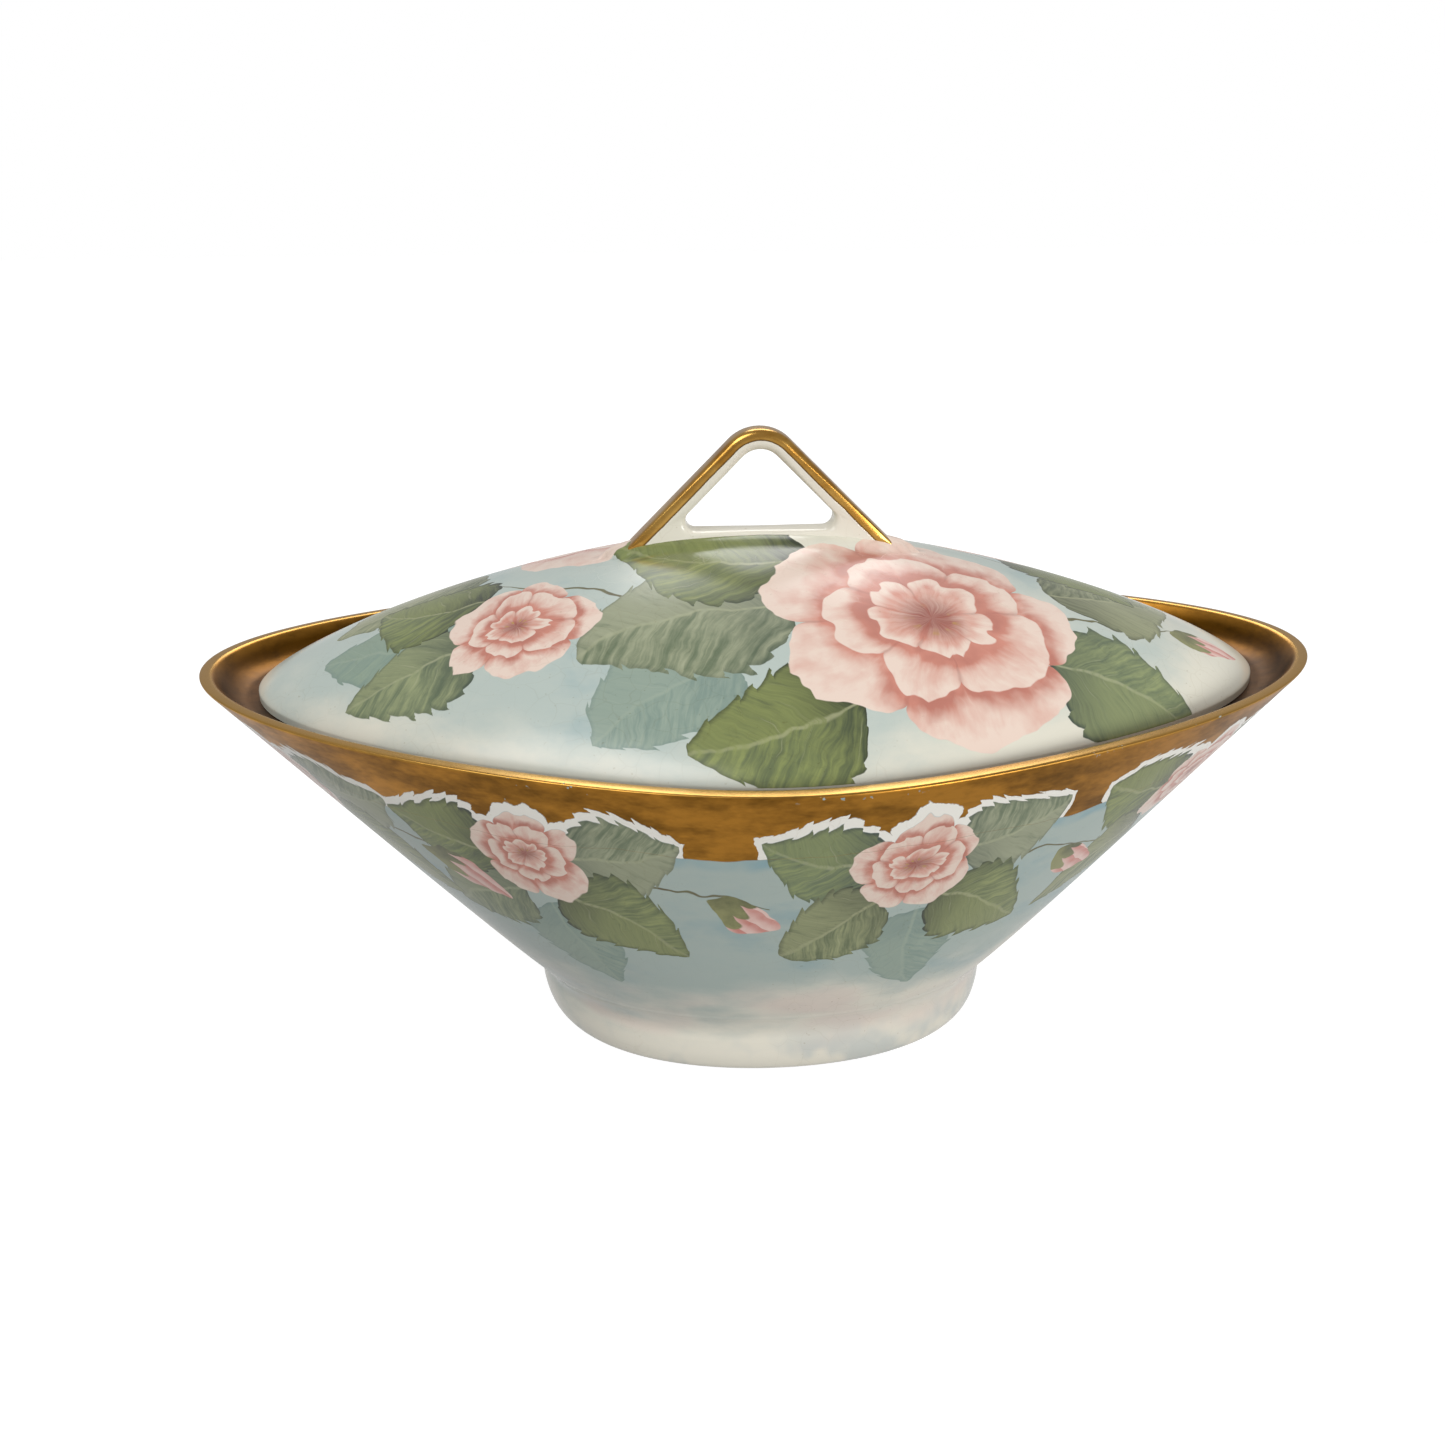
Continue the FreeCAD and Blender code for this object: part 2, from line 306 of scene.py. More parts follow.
@dataclass(frozen=True)
class Mark:
    """One motif laid on a surface.

    Attributes:
        motif: what is painted.
        place: where it starts or, for a blossom, its middle, in the canvas's own terms.
        heading: direction of its axis, in degrees, anticlockwise from the canvas's right.
        size: length, or radius of a blossom, in millimetres.
        seed: picks its palette and irregularities, 0 to 1; the bend of a stem, -1 to 1.
    """

    motif: Motif
    place: tuple[float, float]
    heading: float
    size: float
    seed: float

    def depth(self, along: np.ndarray, aside: np.ndarray) -> np.ndarray:
        """How far inside the room that the motif needs a point lies, in millimetres."""
        if self.motif is Motif.BLOSSOM:
            return (BLOSSOM_ROOM - np.hypot(along, aside)) * self.size
        half_width = STEM_ROOM if self.motif is Motif.STEM else LEAF_ROOM
        lengthways = HALF_LENGTH_ROOM - np.abs(along - 0.5)
        return np.minimum(lengthways, half_width - np.abs(aside)) * self.size


class Canvas:
    """Writes, for each layer, every motif's own coordinates on the faces round it.

    The shader reads them back and draws the motif at full sharpness, whatever the
    size of the faces.
    """

    MARGIN = 4.6                 # room round a motif for its white edge, mm

    def __init__(self, piece: bpy.types.Object, first_row: int, last_row: int) -> None:
        """Prepares the layers.

        Args:
            piece: object made by Skin.
            first_row, last_row: the rows that can be painted.
        """
        self.mesh = piece.data
        self.first_row = first_row
        self.bands = last_row - first_row
        self.charts = {
            layer: np.full((self.bands, COLUMNS, 4, 4), FAR_AWAY, np.float32)
            for layers in LAYERS.values() for layer in layers
        }
        self.depths = {layer: np.full((self.bands, COLUMNS), -self.MARGIN) for layer in self.charts}

    def local(self, place: tuple[float, float]) -> tuple[np.ndarray, np.ndarray]:
        """Distances to the right of and above a place, for every painted vertex."""
        raise NotImplementedError

    def paint(self, mark: Mark) -> None:
        """Puts one motif down, in the first of its layers that is free there.

        Where only the margins of two motifs meet, a face goes to the nearer one.
        """
        right, up = self.local(mark.place)
        angle = math.radians(mark.heading)
        along = (right * math.cos(angle) + up * math.sin(angle)) / mark.size
        aside = (up * math.cos(angle) - right * math.sin(angle)) / mark.size
        corners = np.stack([self.corners(along), self.corners(aside)], axis=3)
        depth = mark.depth(corners[..., 0], corners[..., 1]).max(axis=2)
        for layer in LAYERS[mark.motif]:
            taken = self.depths[layer]
            if ((taken > 0) & (depth > 0)).any():
                continue
            mine = depth > taken
            taken[mine] = depth[mine]
            chart = self.charts[layer]
            chart[mine, :, 0:2] = corners[mine]
            chart[mine, :, 2] = mark.seed
            chart[mine, :, 3] = mark.size
            return
        log.warning("no free layer for %s at %s", mark.motif.value, mark.place)

    @staticmethod
    def corners(values: np.ndarray) -> np.ndarray:
        """Values at the four corners of every face, from those at the vertices."""
        nxt = np.roll(values, -1, axis=1)
        return np.stack([values[:-1], nxt[:-1], nxt[1:], values[1:]], axis=2)

    def finish(self) -> None:
        """Stores the charts on the mesh."""
        start = self.first_row * COLUMNS * 4
        for layer, chart in self.charts.items():
            store = np.full((len(self.mesh.loops), 4), FAR_AWAY, np.float32)
            store[start:start + self.bands * COLUMNS * 4] = chart.reshape(-1, 4)
            attribute = self.mesh.attributes.new(layer, "FLOAT_COLOR", "CORNER")
            attribute.data.foreach_set("color", store.ravel())


class WallCanvas(Canvas):
    """The outside of the bowl, unrolled. A place is (share of the rim's girth, drop below it)."""

    def __init__(self, piece: bpy.types.Object, rows: list[np.ndarray], first_row: int) -> None:
        """Measures the wall.

        Args:
            piece: the bowl.
            rows: the wall's rows, from the foot up to the rim.
            first_row: index of the first of them in the piece.
        """
        super().__init__(piece, first_row, first_row + len(rows) - 1)
        wall = np.array(rows)
        steps = np.linalg.norm(np.roll(wall, -1, axis=1) - wall, axis=2)
        self.round = np.cumsum(steps, axis=1) - steps
        self.girth = steps.sum(axis=1, keepdims=True)
        climb = np.linalg.norm(np.diff(wall, axis=0), axis=2)
        self.drop = np.vstack([np.cumsum(climb[::-1], axis=0)[::-1], np.zeros((1, COLUMNS))])

    def local(self, place: tuple[float, float]) -> tuple[np.ndarray, np.ndarray]:
        """Distances along the wall to the right of and above a place."""
        share, drop = place
        rim = np.append(self.round[-1], self.girth[-1])
        column = np.interp(share % 1 * rim[-1], rim, np.arange(COLUMNS + 1))
        low = int(column) % COLUMNS
        high = (low + 1) % COLUMNS
        start = self.round[:, low]
        end = np.where(high == 0, self.girth[:, 0], self.round[:, high])
        middle = (start + (end - start) * (column - int(column)))[:, None]
        right = (self.round - middle + self.girth / 2) % self.girth - self.girth / 2
        return right, drop - self.drop


class DomeCanvas(Canvas):
    """The top of the lid. A place is (x, y) as seen from above."""

    def __init__(self, piece: bpy.types.Object, rows: list[np.ndarray], first_row: int) -> None:
        """Keeps the dome's points.

        Args:
            piece: the lid.
            rows: the dome's rows, from the crown down to the edge.
            first_row: index of the first of them in the piece.
        """
        super().__init__(piece, first_row, first_row + len(rows) - 1)
        self.dome = np.array(rows)
        across = np.roll(self.dome, -1, axis=1) - np.roll(self.dome, 1, axis=1)
        down = np.gradient(self.dome, axis=0)
        normals = np.cross(down, across)
        self.normals = normals / np.linalg.norm(normals, axis=2, keepdims=True)

    def local(self, place: tuple[float, float]) -> tuple[np.ndarray, np.ndarray]:
        """Distances in the plane that touches the dome at a place."""
        plan = (self.dome[:, :, 0] - place[0]) ** 2 + (self.dome[:, :, 1] - place[1]) ** 2
        row, column = np.unravel_index(np.argmin(plan), plan.shape)
        middle = self.dome[row, column].copy()
        middle[:2] = place
        normal = self.normals[row, column]
        right_way = np.array([1.0, 0.0, 0.0])
        right_way -= normal * normal.dot(right_way)
        right_way /= np.linalg.norm(right_way)
        up_way = np.cross(normal, right_way)
        offset = self.dome - middle
        return offset @ right_way, offset @ up_way


# --- shader building ------------------------------------------------------------
class Signal:
    """A number in a node tree. Arithmetic on it adds Math nodes."""

    def __init__(self, graph: "Graph", socket: bpy.types.NodeSocket) -> None:
        """Keeps the socket that carries the number."""
        self.graph = graph
        self.socket = socket

    def __add__(self, other: "Signal | float") -> "Signal":
        """Sum."""
        return self.graph.math("ADD", self, other)

    def __radd__(self, other: float) -> "Signal":
        """Sum with a plain number on the left."""
        return self.graph.math("ADD", other, self)

    def __sub__(self, other: "Signal | float") -> "Signal":
        """Difference."""
        return self.graph.math("SUBTRACT", self, other)

    def __rsub__(self, other: float) -> "Signal":
        """Difference from a plain number."""
        return self.graph.math("SUBTRACT", other, self)

    def __mul__(self, other: "Signal | float") -> "Signal":
        """Product."""
        return self.graph.math("MULTIPLY", self, other)

    def __rmul__(self, other: float) -> "Signal":
        """Product with a plain number on the left."""
        return self.graph.math("MULTIPLY", other, self)

    def __truediv__(self, other: "Signal | float") -> "Signal":
        """Quotient."""
        return self.graph.math("DIVIDE", self, other)

    def __pow__(self, other: float) -> "Signal":
        """Power of the positive part."""
        return self.graph.math("POWER", self.graph.math("MAXIMUM", self, 0.0), other)

    def __abs__(self) -> "Signal":
        """Size without its sign."""
        return self.graph.math("ABSOLUTE", self)

    def step(self, low: float, high: float) -> "Signal":
        """Rises smoothly from 0 to 1 as the number goes from low to high."""
        node = self.graph.node("ShaderNodeMapRange", interpolation_type="SMOOTHSTEP")
        self.graph.feed(node.inputs["Value"], self)
        if low < high:
            bounds = (low, high, 0.0, 1.0)
        else:
            bounds = (high, low, 1.0, 0.0)
        for name, value in zip(("From Min", "From Max", "To Min", "To Max"), bounds):
            node.inputs[name].default_value = value
        return Signal(self.graph, node.outputs["Result"])


class Graph:
    """Short ways to add nodes to a tree."""

    def __init__(self, tree: bpy.types.NodeTree) -> None:
        """Keeps the tree."""
        self.tree = tree

    def node(self, kind: str, **settings: object) -> bpy.types.Node:
        """Adds a node and sets its properties."""
        node = self.tree.nodes.new(kind)
        for name, value in settings.items():
            setattr(node, name, value)
        return node

    def feed(self, socket: bpy.types.NodeSocket, value: object) -> None:
        """Links a signal or socket to an input, or sets a plain value on it."""
        if isinstance(value, Signal):
            value = value.socket
        if isinstance(value, bpy.types.NodeSocket):
            self.tree.links.new(value, socket)
        else:
            socket.default_value = value

    def math(self, operation: str, *values: "Signal | float") -> Signal:
        """Adds a Math node."""
        node = self.node("ShaderNodeMath", operation=operation)
        for socket, value in zip(node.inputs, values):
            self.feed(socket, value)
        return Signal(self, node.outputs[0])

    def most(self, first: "Signal | float", *others: "Signal | float") -> Signal:
        """Largest of several signals."""
        for other in others:
            first = self.math("MAXIMUM", first, other)
        return first

    def least(self, first: "Signal | float", *others: "Signal | float") -> Signal:
        """Smallest of several signals."""
        for other in others:
            first = self.math("MINIMUM", first, other)
        return first

    def sine(self, value: Signal) -> Signal:
        """Sine of an angle in radians."""
        return self.math("SINE", value)

    def mix(self, share: "Signal | float", below: object, above: object) -> bpy.types.NodeSocket:
        """Blends two colours."""
        node = self.node("ShaderNodeMix", data_type="RGBA", clamp_factor=True)
        self.feed(node.inputs[0], share)
        self.feed(node.inputs[6], below)
        self.feed(node.inputs[7], above)
        return node.outputs[2]

    def shade(self, colour: object, share: "Signal | float", tint: object) -> bpy.types.NodeSocket:
        """Multiplies a colour by another one, by a share."""
        node = self.node("ShaderNodeMix", data_type="RGBA", blend_type="MULTIPLY", clamp_factor=True)
        self.feed(node.inputs[0], share)
        self.feed(node.inputs[6], colour)
        self.feed(node.inputs[7], tint)
        return node.outputs[2]

    def attribute(self, name: str) -> bpy.types.Node:
        """Reads an attribute of the mesh."""
        return self.node("ShaderNodeAttribute", attribute_name=name)

    def place(self) -> bpy.types.NodeSocket:
        """Position on the object, in metres."""
        return self.node("ShaderNodeTexCoord").outputs["Object"]

    def vector(self, *parts: "Signal | float") -> bpy.types.NodeSocket:
        """Joins three numbers."""
        node = self.node("ShaderNodeCombineXYZ")
        for socket, value in zip(node.inputs, parts):
            self.feed(socket, value)
        return node.outputs[0]

    def split(self, vector: bpy.types.NodeSocket) -> tuple[Signal, Signal, Signal]:
        """Takes a vector apart."""
        node = self.node("ShaderNodeSeparateXYZ")
        self.feed(node.inputs[0], vector)
        return tuple(Signal(self, socket) for socket in node.outputs)

    def clouds(self, where: object, scale: float, detail: float, rough: float) -> bpy.types.NodeOutputs:
        """Adds a noise texture.

        Args:
            where: coordinates.
            scale: repeats in one unit of them.
            detail: layers of finer noise.
            rough: strength of the finer layers.

        Returns:
            Its outputs: one number in Fac, three in Color, all about a half.
        """
        node = self.node("ShaderNodeTexNoise", noise_dimensions="3D")
        self.feed(node.inputs["Vector"], where)
        node.inputs["Scale"].default_value = scale
        node.inputs["Detail"].default_value = detail
        node.inputs["Roughness"].default_value = rough
        return node.outputs

    def noise(self, where: object, scale: float, detail: float = 3.0, rough: float = 0.55) -> Signal:
        """Soft noise about a half, as one number."""
        return Signal(self, self.clouds(where, scale, detail, rough)["Fac"])


class Effect:
    """A shader node group that several finishes share, built once."""

    name = "effect"
    inputs: tuple[tuple[str, str], ...] = ()
    outputs: tuple[tuple[str, str], ...] = ()

    def tree(self) -> bpy.types.NodeTree:
        """The group's node tree, built the first time it is asked for."""
        if self.name in bpy.data.node_groups:
            return bpy.data.node_groups[self.name]
        tree = bpy.data.node_groups.new(self.name, "ShaderNodeTree")
        for name, kind in self.inputs:
            tree.interface.new_socket(name, in_out="INPUT", socket_type=kind)
        for name, kind in self.outputs:
            tree.interface.new_socket(name, in_out="OUTPUT", socket_type=kind)
        graph = Graph(tree)
        sources = graph.node("NodeGroupInput").outputs
        sink = graph.node("NodeGroupOutput").inputs
        for name, value in self.build(graph, sources).items():
            graph.feed(sink[name], value)
        return tree

    def build(self, graph: Graph, sources: bpy.types.NodeOutputs) -> dict[str, object]:
        """Adds the group's nodes and returns what feeds each output."""
        raise NotImplementedError

    def use(self, graph: Graph, **values: object) -> bpy.types.NodeOutputs:
        """Places the group in a material.

        Args:
            graph: the material's graph.
            values: what feeds the inputs, by name with spaces as underscores.

        Returns:
            The placed group's outputs.
        """
        node = graph.node("ShaderNodeGroup", node_tree=self.tree())
        for name, value in values.items():
            graph.feed(node.inputs[name.replace("_", " ")], value)
        return node.outputs


NUMBER = "NodeSocketFloat"
COLOUR = "NodeSocketColor"
VECTOR = "NodeSocketVector"
PAINT_OUTPUTS = (("Colour", COLOUR), ("Cover", NUMBER), ("Reserve", NUMBER))
RESERVE_WIDTH = 2.0              # white edge left round a motif on the gilding, mm
RAGGED = 2.6                     # how unevenly that edge is cut, mm
EDGE = 0.25                      # softness of a brush edge, mm
WANDER = 9.0                     # reach of the noise that makes outlines unsteady, mm


class PaintEffect(Effect):
    """A motif drawn from its chart: along, aside and seed in Chart, size in Size."""

    inputs = (
        ("Chart", VECTOR), ("Size", NUMBER), ("Grain", NUMBER), ("Wander", VECTOR), ("Fading", NUMBER),
    )
    outputs = PAINT_OUTPUTS
    SHADE = srgb(150, 176, 172)

    def build(self, graph: Graph, sources: bpy.types.NodeOutputs) -> dict[str, object]:
        """Reads the chart, draws the motif and makes its masks from its distance."""
        along, aside, seed = graph.split(sources["Chart"])
        size = Signal(graph, sources["Size"])
        grain = Signal(graph, sources["Grain"])
        forward, sideways, _ = graph.split(sources["Wander"])
        along = along + (forward - 0.5) * WANDER / size
        aside = aside + (sideways - 0.5) * WANDER / size
        distance, colour = self.draw(graph, along, aside, seed, size, grain)
        ragged = distance + (grain - 0.5) * RAGGED
        return {
            "Colour": graph.mix(Signal(graph, sources["Fading"]), colour, self.SHADE),
            "Cover": distance.step(0.0, EDGE),
            "Reserve": ragged.step(-RESERVE_WIDTH, EDGE - RESERVE_WIDTH),
        }

    def draw(
        self, graph: Graph, along: Signal, aside: Signal, seed: Signal, size: Signal, grain: Signal,
    ) -> tuple[Signal, object]:
        """Draws the motif in its own coordinates.

        Args:
            graph: the group's graph.
            along, aside: place along the motif's axis and to its left, in sizes.
            seed: picks its palette and irregularities.
            size: its length or radius, in millimetres.
            grain: fine noise.

        Returns:
            The distance inside the motif's edge, in millimetres, and its colour.
        """
        raise NotImplementedError


class LeafPaint(PaintEffect):
    """Toothed leaf, one half lighter than the other, brushed out from its midrib."""

    name = "Leaf paint"
    SAGE = srgb(178, 180, 148)
    SPRING = srgb(150, 160, 96)
    MOSS = srgb(100, 112, 78)
    DEEP = srgb(54, 62, 46)
    VEIN = srgb(196, 196, 156)
    HALF_WIDTH = 0.43
    TEETH = 8.0
    BOW = 0.34
    SIDE_VEINS = 5.5

    def draw(
        self, graph: Graph, along: Signal, aside: Signal, seed: Signal, size: Signal, grain: Signal,
    ) -> tuple[Signal, object]:
        """Draws the leaf from stalk at 0 to tip at 1."""
        spine = aside - (seed - 0.5) * self.BOW * graph.sine(along * math.pi)
        across = abs(spine)
        swell = graph.sine(graph.least(graph.most(along, 0.0), 1.0) ** 0.66 * math.pi) ** 0.88
        saw = 1.0 - graph.math("FRACT", along * self.TEETH + across * 1.6 + grain * 0.7)
        half = swell * (self.HALF_WIDTH * 0.93) * (0.93 + saw * 0.13) - graph.most(along - 0.95, 0.0) * 0.9
        inside = graph.least(half - across, (1.0 - along) * 0.6, along * 0.9) * size
        slant = along - across * 0.85
        strokes = graph.noise(graph.vector(slant * 9.0, across * 1.6, seed * 7.0), 2.4, 3.0, 0.62)
        fine = graph.noise(graph.vector(slant * 30.0, across * 2.5, seed * 5.0), 2.0, 2.0)
        upper = spine.step(-0.02, 0.02)
        tone = upper * 0.55 + (strokes - 0.5) * 2.1 + (grain - 0.5) * 0.7
        green = graph.mix(seed.step(0.15, 0.75), self.SAGE, self.SPRING)
        green = graph.mix(tone.step(-0.10, 1.10), green, self.MOSS)
        pooled = inside.step(1.6, 0.1) * 0.5
        root = along.step(0.50, 0.04) * (0.2 + strokes)
        shadow = (1.0 - upper) * (0.10 + fine * 0.45) + pooled + root * 0.8
        green = graph.mix(shadow * (0.45 + seed * 0.6), green, self.DEEP)
        rib = (across * size).step(0.60, 0.10) * (0.9 - along * 0.5) * strokes.step(0.30, 0.55)
        side_vein = abs(graph.math("FRACT", slant * self.SIDE_VEINS + seed) - 0.5).step(0.06, 0.0)
        vein = side_vein * inside.step(0.8, 3.5) * fine.step(0.46, 0.66)
        return inside, graph.mix(graph.most(rib * 0.6, vein * 0.35), green, self.VEIN)


class BlossomPaint(PaintEffect):
    """Open flower with three whorls of petals, blush to rose, deepest in its heart."""

    name = "Blossom paint"
    BLUSH = srgb(242, 220, 205)
    ROSE = srgb(216, 146, 128)
    WINE = srgb(132, 56, 48)
    OCHRE = srgb(190, 150, 84)
    OUTER_REACH = 0.98
    OUTER_LOBE = 0.26
    INNER_WHORLS = ((1.57, 0.68, 0.17, 0.30), (0.60, 0.38, 0.10, 0.12))  # turn, reach, lobe, blush

    def whorl(
        self, graph: Graph, angle: Signal, seed: Signal, turn: float, outer: float, lobe: float,
    ) -> tuple[Signal, Signal]:
        """Edge radius of a ring of five petals and how near the petals' joins are.

        Args:
            graph: the group's graph.
            angle: direction round the flower.
            seed: the flower's own number.
            turn: how far this ring is turned, in radians.
            outer: radius at the petals' tips.
            lobe: depth of the joins.

        Returns:
            Radius, and 1 at the middle of a petal falling to 0 at its joins.
        """
        uneven = angle + graph.sine(angle * 2.0 + seed * 7.0 + turn * 3.0) * 0.16
        petal = abs(graph.sine(uneven * 2.5 + turn))
        ruffle = graph.sine(angle * 9.0 + seed * 9.0) * 0.014
        longer = graph.sine(angle + seed * 11.0 + turn * 2.0) * 0.05
        notch = petal.step(0.93, 1.0) * 0.04
        return (outer - lobe + petal ** 0.55 * lobe + ruffle - notch) * (1.0 + longer), petal

    def draw(
        self, graph: Graph, along: Signal, aside: Signal, seed: Signal, size: Signal, grain: Signal,
    ) -> tuple[Signal, object]:
        """Draws the flower about its middle, with its petals' tips at 1."""
        radius = (along * along + aside * aside) ** 0.5
        angle = graph.math("ARCTAN2", aside, along) + seed * 6.0
        outer_edge, outer_petal = self.whorl(graph, angle, seed, 0.0, self.OUTER_REACH, self.OUTER_LOBE)
        inside = (outer_edge - radius) * size * 0.9
        streak = graph.noise(graph.vector(angle * 3.0, radius * 1.6, seed * 9.0), 2.6, 3.0, 0.62)
        wet = graph.noise(graph.vector(along * 2.2, aside * 2.2, seed * 9.0), 1.6, 3.0, 0.6)
        rosy = radius.step(0.98, 0.45) * 0.60 + outer_petal.step(0.40, 0.0) * 0.35
        wine = outer_petal.step(0.10, 0.0) * radius.step(0.30, 0.80) * 0.30
        for turn, reach, lobe, depth in self.INNER_WHORLS:
            edge, petal = self.whorl(graph, angle, seed, turn, reach, lobe)
            within = edge - radius
            in_front = within.step(0.0, 0.014)
            cast = within.step(-0.16, -0.005) * (1.0 - in_front)
            rosy = rosy + cast * 0.55
            wine = graph.most(wine, cast * 0.34 * wet.step(0.35, 0.65))
            fresh = within.step(0.02, depth) * 0.70 + petal.step(0.36, 0.0) * 0.40
            rosy = rosy + (fresh - rosy) * in_front
            wine = wine + (petal.step(0.12, 0.0) * 0.30 - wine) * in_front
        rosy = rosy + (streak - 0.5) * 0.9 + (wet - 0.5) * 1.3 + (grain - 0.5) * 0.4
        colour = graph.mix(rosy, self.BLUSH, self.ROSE)
        throat = radius.step(0.26, 0.04) * 0.85 * (streak * 0.9 + 0.35)
        colour = graph.mix(graph.most(wine, throat), colour, self.WINE)
        dots = graph.sine(angle * 9.0).step(0.35, 0.75)
        anther = dots * radius.step(0.085, 0.11) * radius.step(0.165, 0.14) * wet.step(0.40, 0.55)
        return inside, graph.mix(anther * 0.85, colour, self.OCHRE)


class BudPaint(PaintEffect):
    """Closed bud in a green cup."""

    name = "Bud paint"
    BLUSH = srgb(240, 206, 196)
    ROSE = srgb(206, 122, 110)
    CUP = srgb(146, 146, 96)
    CUP_DARK = srgb(92, 96, 62)
    BOW = 0.2
    HALF_WIDTH = 0.25

    def draw(
        self, graph: Graph, along: Signal, aside: Signal, seed: Signal, size: Signal, grain: Signal,
    ) -> tuple[Signal, object]:
        """Draws the bud from stalk at 0 to tip at 1."""
        spine = aside - (seed - 0.5) * self.BOW * graph.sine(along * math.pi)
        across = abs(spine)
        swell = graph.sine(graph.least(graph.most(along, 0.0), 1.0) ** 0.85 * math.pi) ** 0.8
        inside = graph.least(swell * self.HALF_WIDTH - across, (1.0 - along) * 0.6, along * 0.9) * size
        fold = graph.math("FRACT", (spine * 5.5 + along * 1.3 + seed))
        rosy = fold.step(0.1, 0.9) * 0.75 + (grain - 0.5) * 1.1
        colour = graph.mix(rosy, self.BLUSH, self.ROSE)
        teeth = abs(graph.sine(spine * 17.0 + 0.8))
        cup = (along + teeth * -0.22).step(0.34, 0.29)
        green = graph.mix((grain - 0.35) * 2.0 + spine * 2.5, self.CUP, self.CUP_DARK)
        return inside, graph.mix(cup, colour, green)


class StemPaint(PaintEffect):
    """Fine bending stroke. The chart's seed is how far it bows to one side."""

    name = "Stem paint"
    GREEN = srgb(118, 118, 82)
    BROWN = srgb(94, 84, 64)
    HALF_WIDTH = 0.52            # where it starts, mm
    THINNING = 0.26              # and how much less where it ends

    def draw(
        self, graph: Graph, along: Signal, aside: Signal, seed: Signal, size: Signal, grain: Signal,
    ) -> tuple[Signal, object]:
        """Draws the stroke from 0 to 1, thinner towards its end."""
        bow = seed * along * (1.0 - along)
        half = self.HALF_WIDTH - along * self.THINNING
        inside = graph.least(half - abs(aside - bow) * size, (1.0 - along) * size, along * size)
        return inside, graph.mix((grain - 0.3) * 2.0, self.GREEN, self.BROWN)


class WashPaint(Effect):
    """Thin watery ground laid with a wide brush: a tint that pools and thins out."""

    name = "Wash"
    inputs = (("Tint", COLOUR), ("Pooled Tint", COLOUR), ("Bare", COLOUR), ("Thinness", NUMBER))
    outputs = (("Colour", COLOUR),)
    STREAK = 2.2                 # how much flatter than wide the clouds are
    CLOUD, POOL, DAB = 16.0, 42.0, 150.0    # clouds, pools and brush dabs in one metre

    def build(self, graph: Graph, sources: bpy.types.NodeOutputs) -> dict[str, object]:
        """Broad clouds for the tint, finer ones for where it pooled."""
        x, y, z = graph.split(graph.place())
        where = graph.vector(x, y, z * self.STREAK)
        cloud = graph.noise(where, self.CLOUD, 3.0, 0.6)
        pool = graph.noise(where, self.POOL, 4.0, 0.62)
        dabs = graph.noise(where, self.DAB, 3.0, 0.6)
        thin = Signal(graph, sources["Thinness"])
        bare = (cloud + thin + (dabs - 0.5) * 0.20).step(0.50, 0.86)
        pooled = pool.step(0.50, 0.72) * 0.6 + (dabs - 0.5) * 0.35
        tint = graph.mix(pooled, sources["Tint"], sources["Pooled Tint"])
        return {"Colour": graph.mix(bare, tint, sources["Bare"])}


class GiltSurface(Effect):
    """Burnished gold: brush-laid thickness, tarnish in patches and rubbed places."""

    name = "Gilding"
    inputs = (("Gold", COLOUR), ("Dark Gold", COLOUR), ("Wear", NUMBER))
    outputs = (("Colour", COLOUR), ("Roughness", NUMBER), ("Height", NUMBER), ("Worn", NUMBER))
    STREAK = 2.5
    PATCH, BRUSH, FLECK = 60.0, 380.0, 900.0    # patches, brush marks and flecks in one metre
    POLISH = 0.24                # roughness where it is best burnished

    def build(self, graph: Graph, sources: bpy.types.NodeOutputs) -> dict[str, object]:
        """Patchy tone, fine grain and worn spots."""
        x, y, z = graph.split(graph.place())
        where = graph.vector(x, y, z * self.STREAK)
        patch = graph.noise(where, self.PATCH, 4.0, 0.65)
        brush = graph.noise(where, self.BRUSH, 3.0, 0.6)
        fleck = graph.noise(where, self.FLECK, 2.0, 0.5)
        tone = patch.step(0.36, 0.68) * 0.85 + (brush - 0.5) * 0.8
        wear = Signal(graph, sources["Wear"])
        worn = (fleck * 0.55 + patch * 0.45 + wear).step(0.93, 0.99)
        return {
            "Colour": graph.mix(tone, sources["Gold"], sources["Dark Gold"]),
            "Roughness": self.POLISH + patch * 0.16 + brush * 0.06,
            "Height": brush * 0.5 + patch * 0.5,
            "Worn": worn,
        }


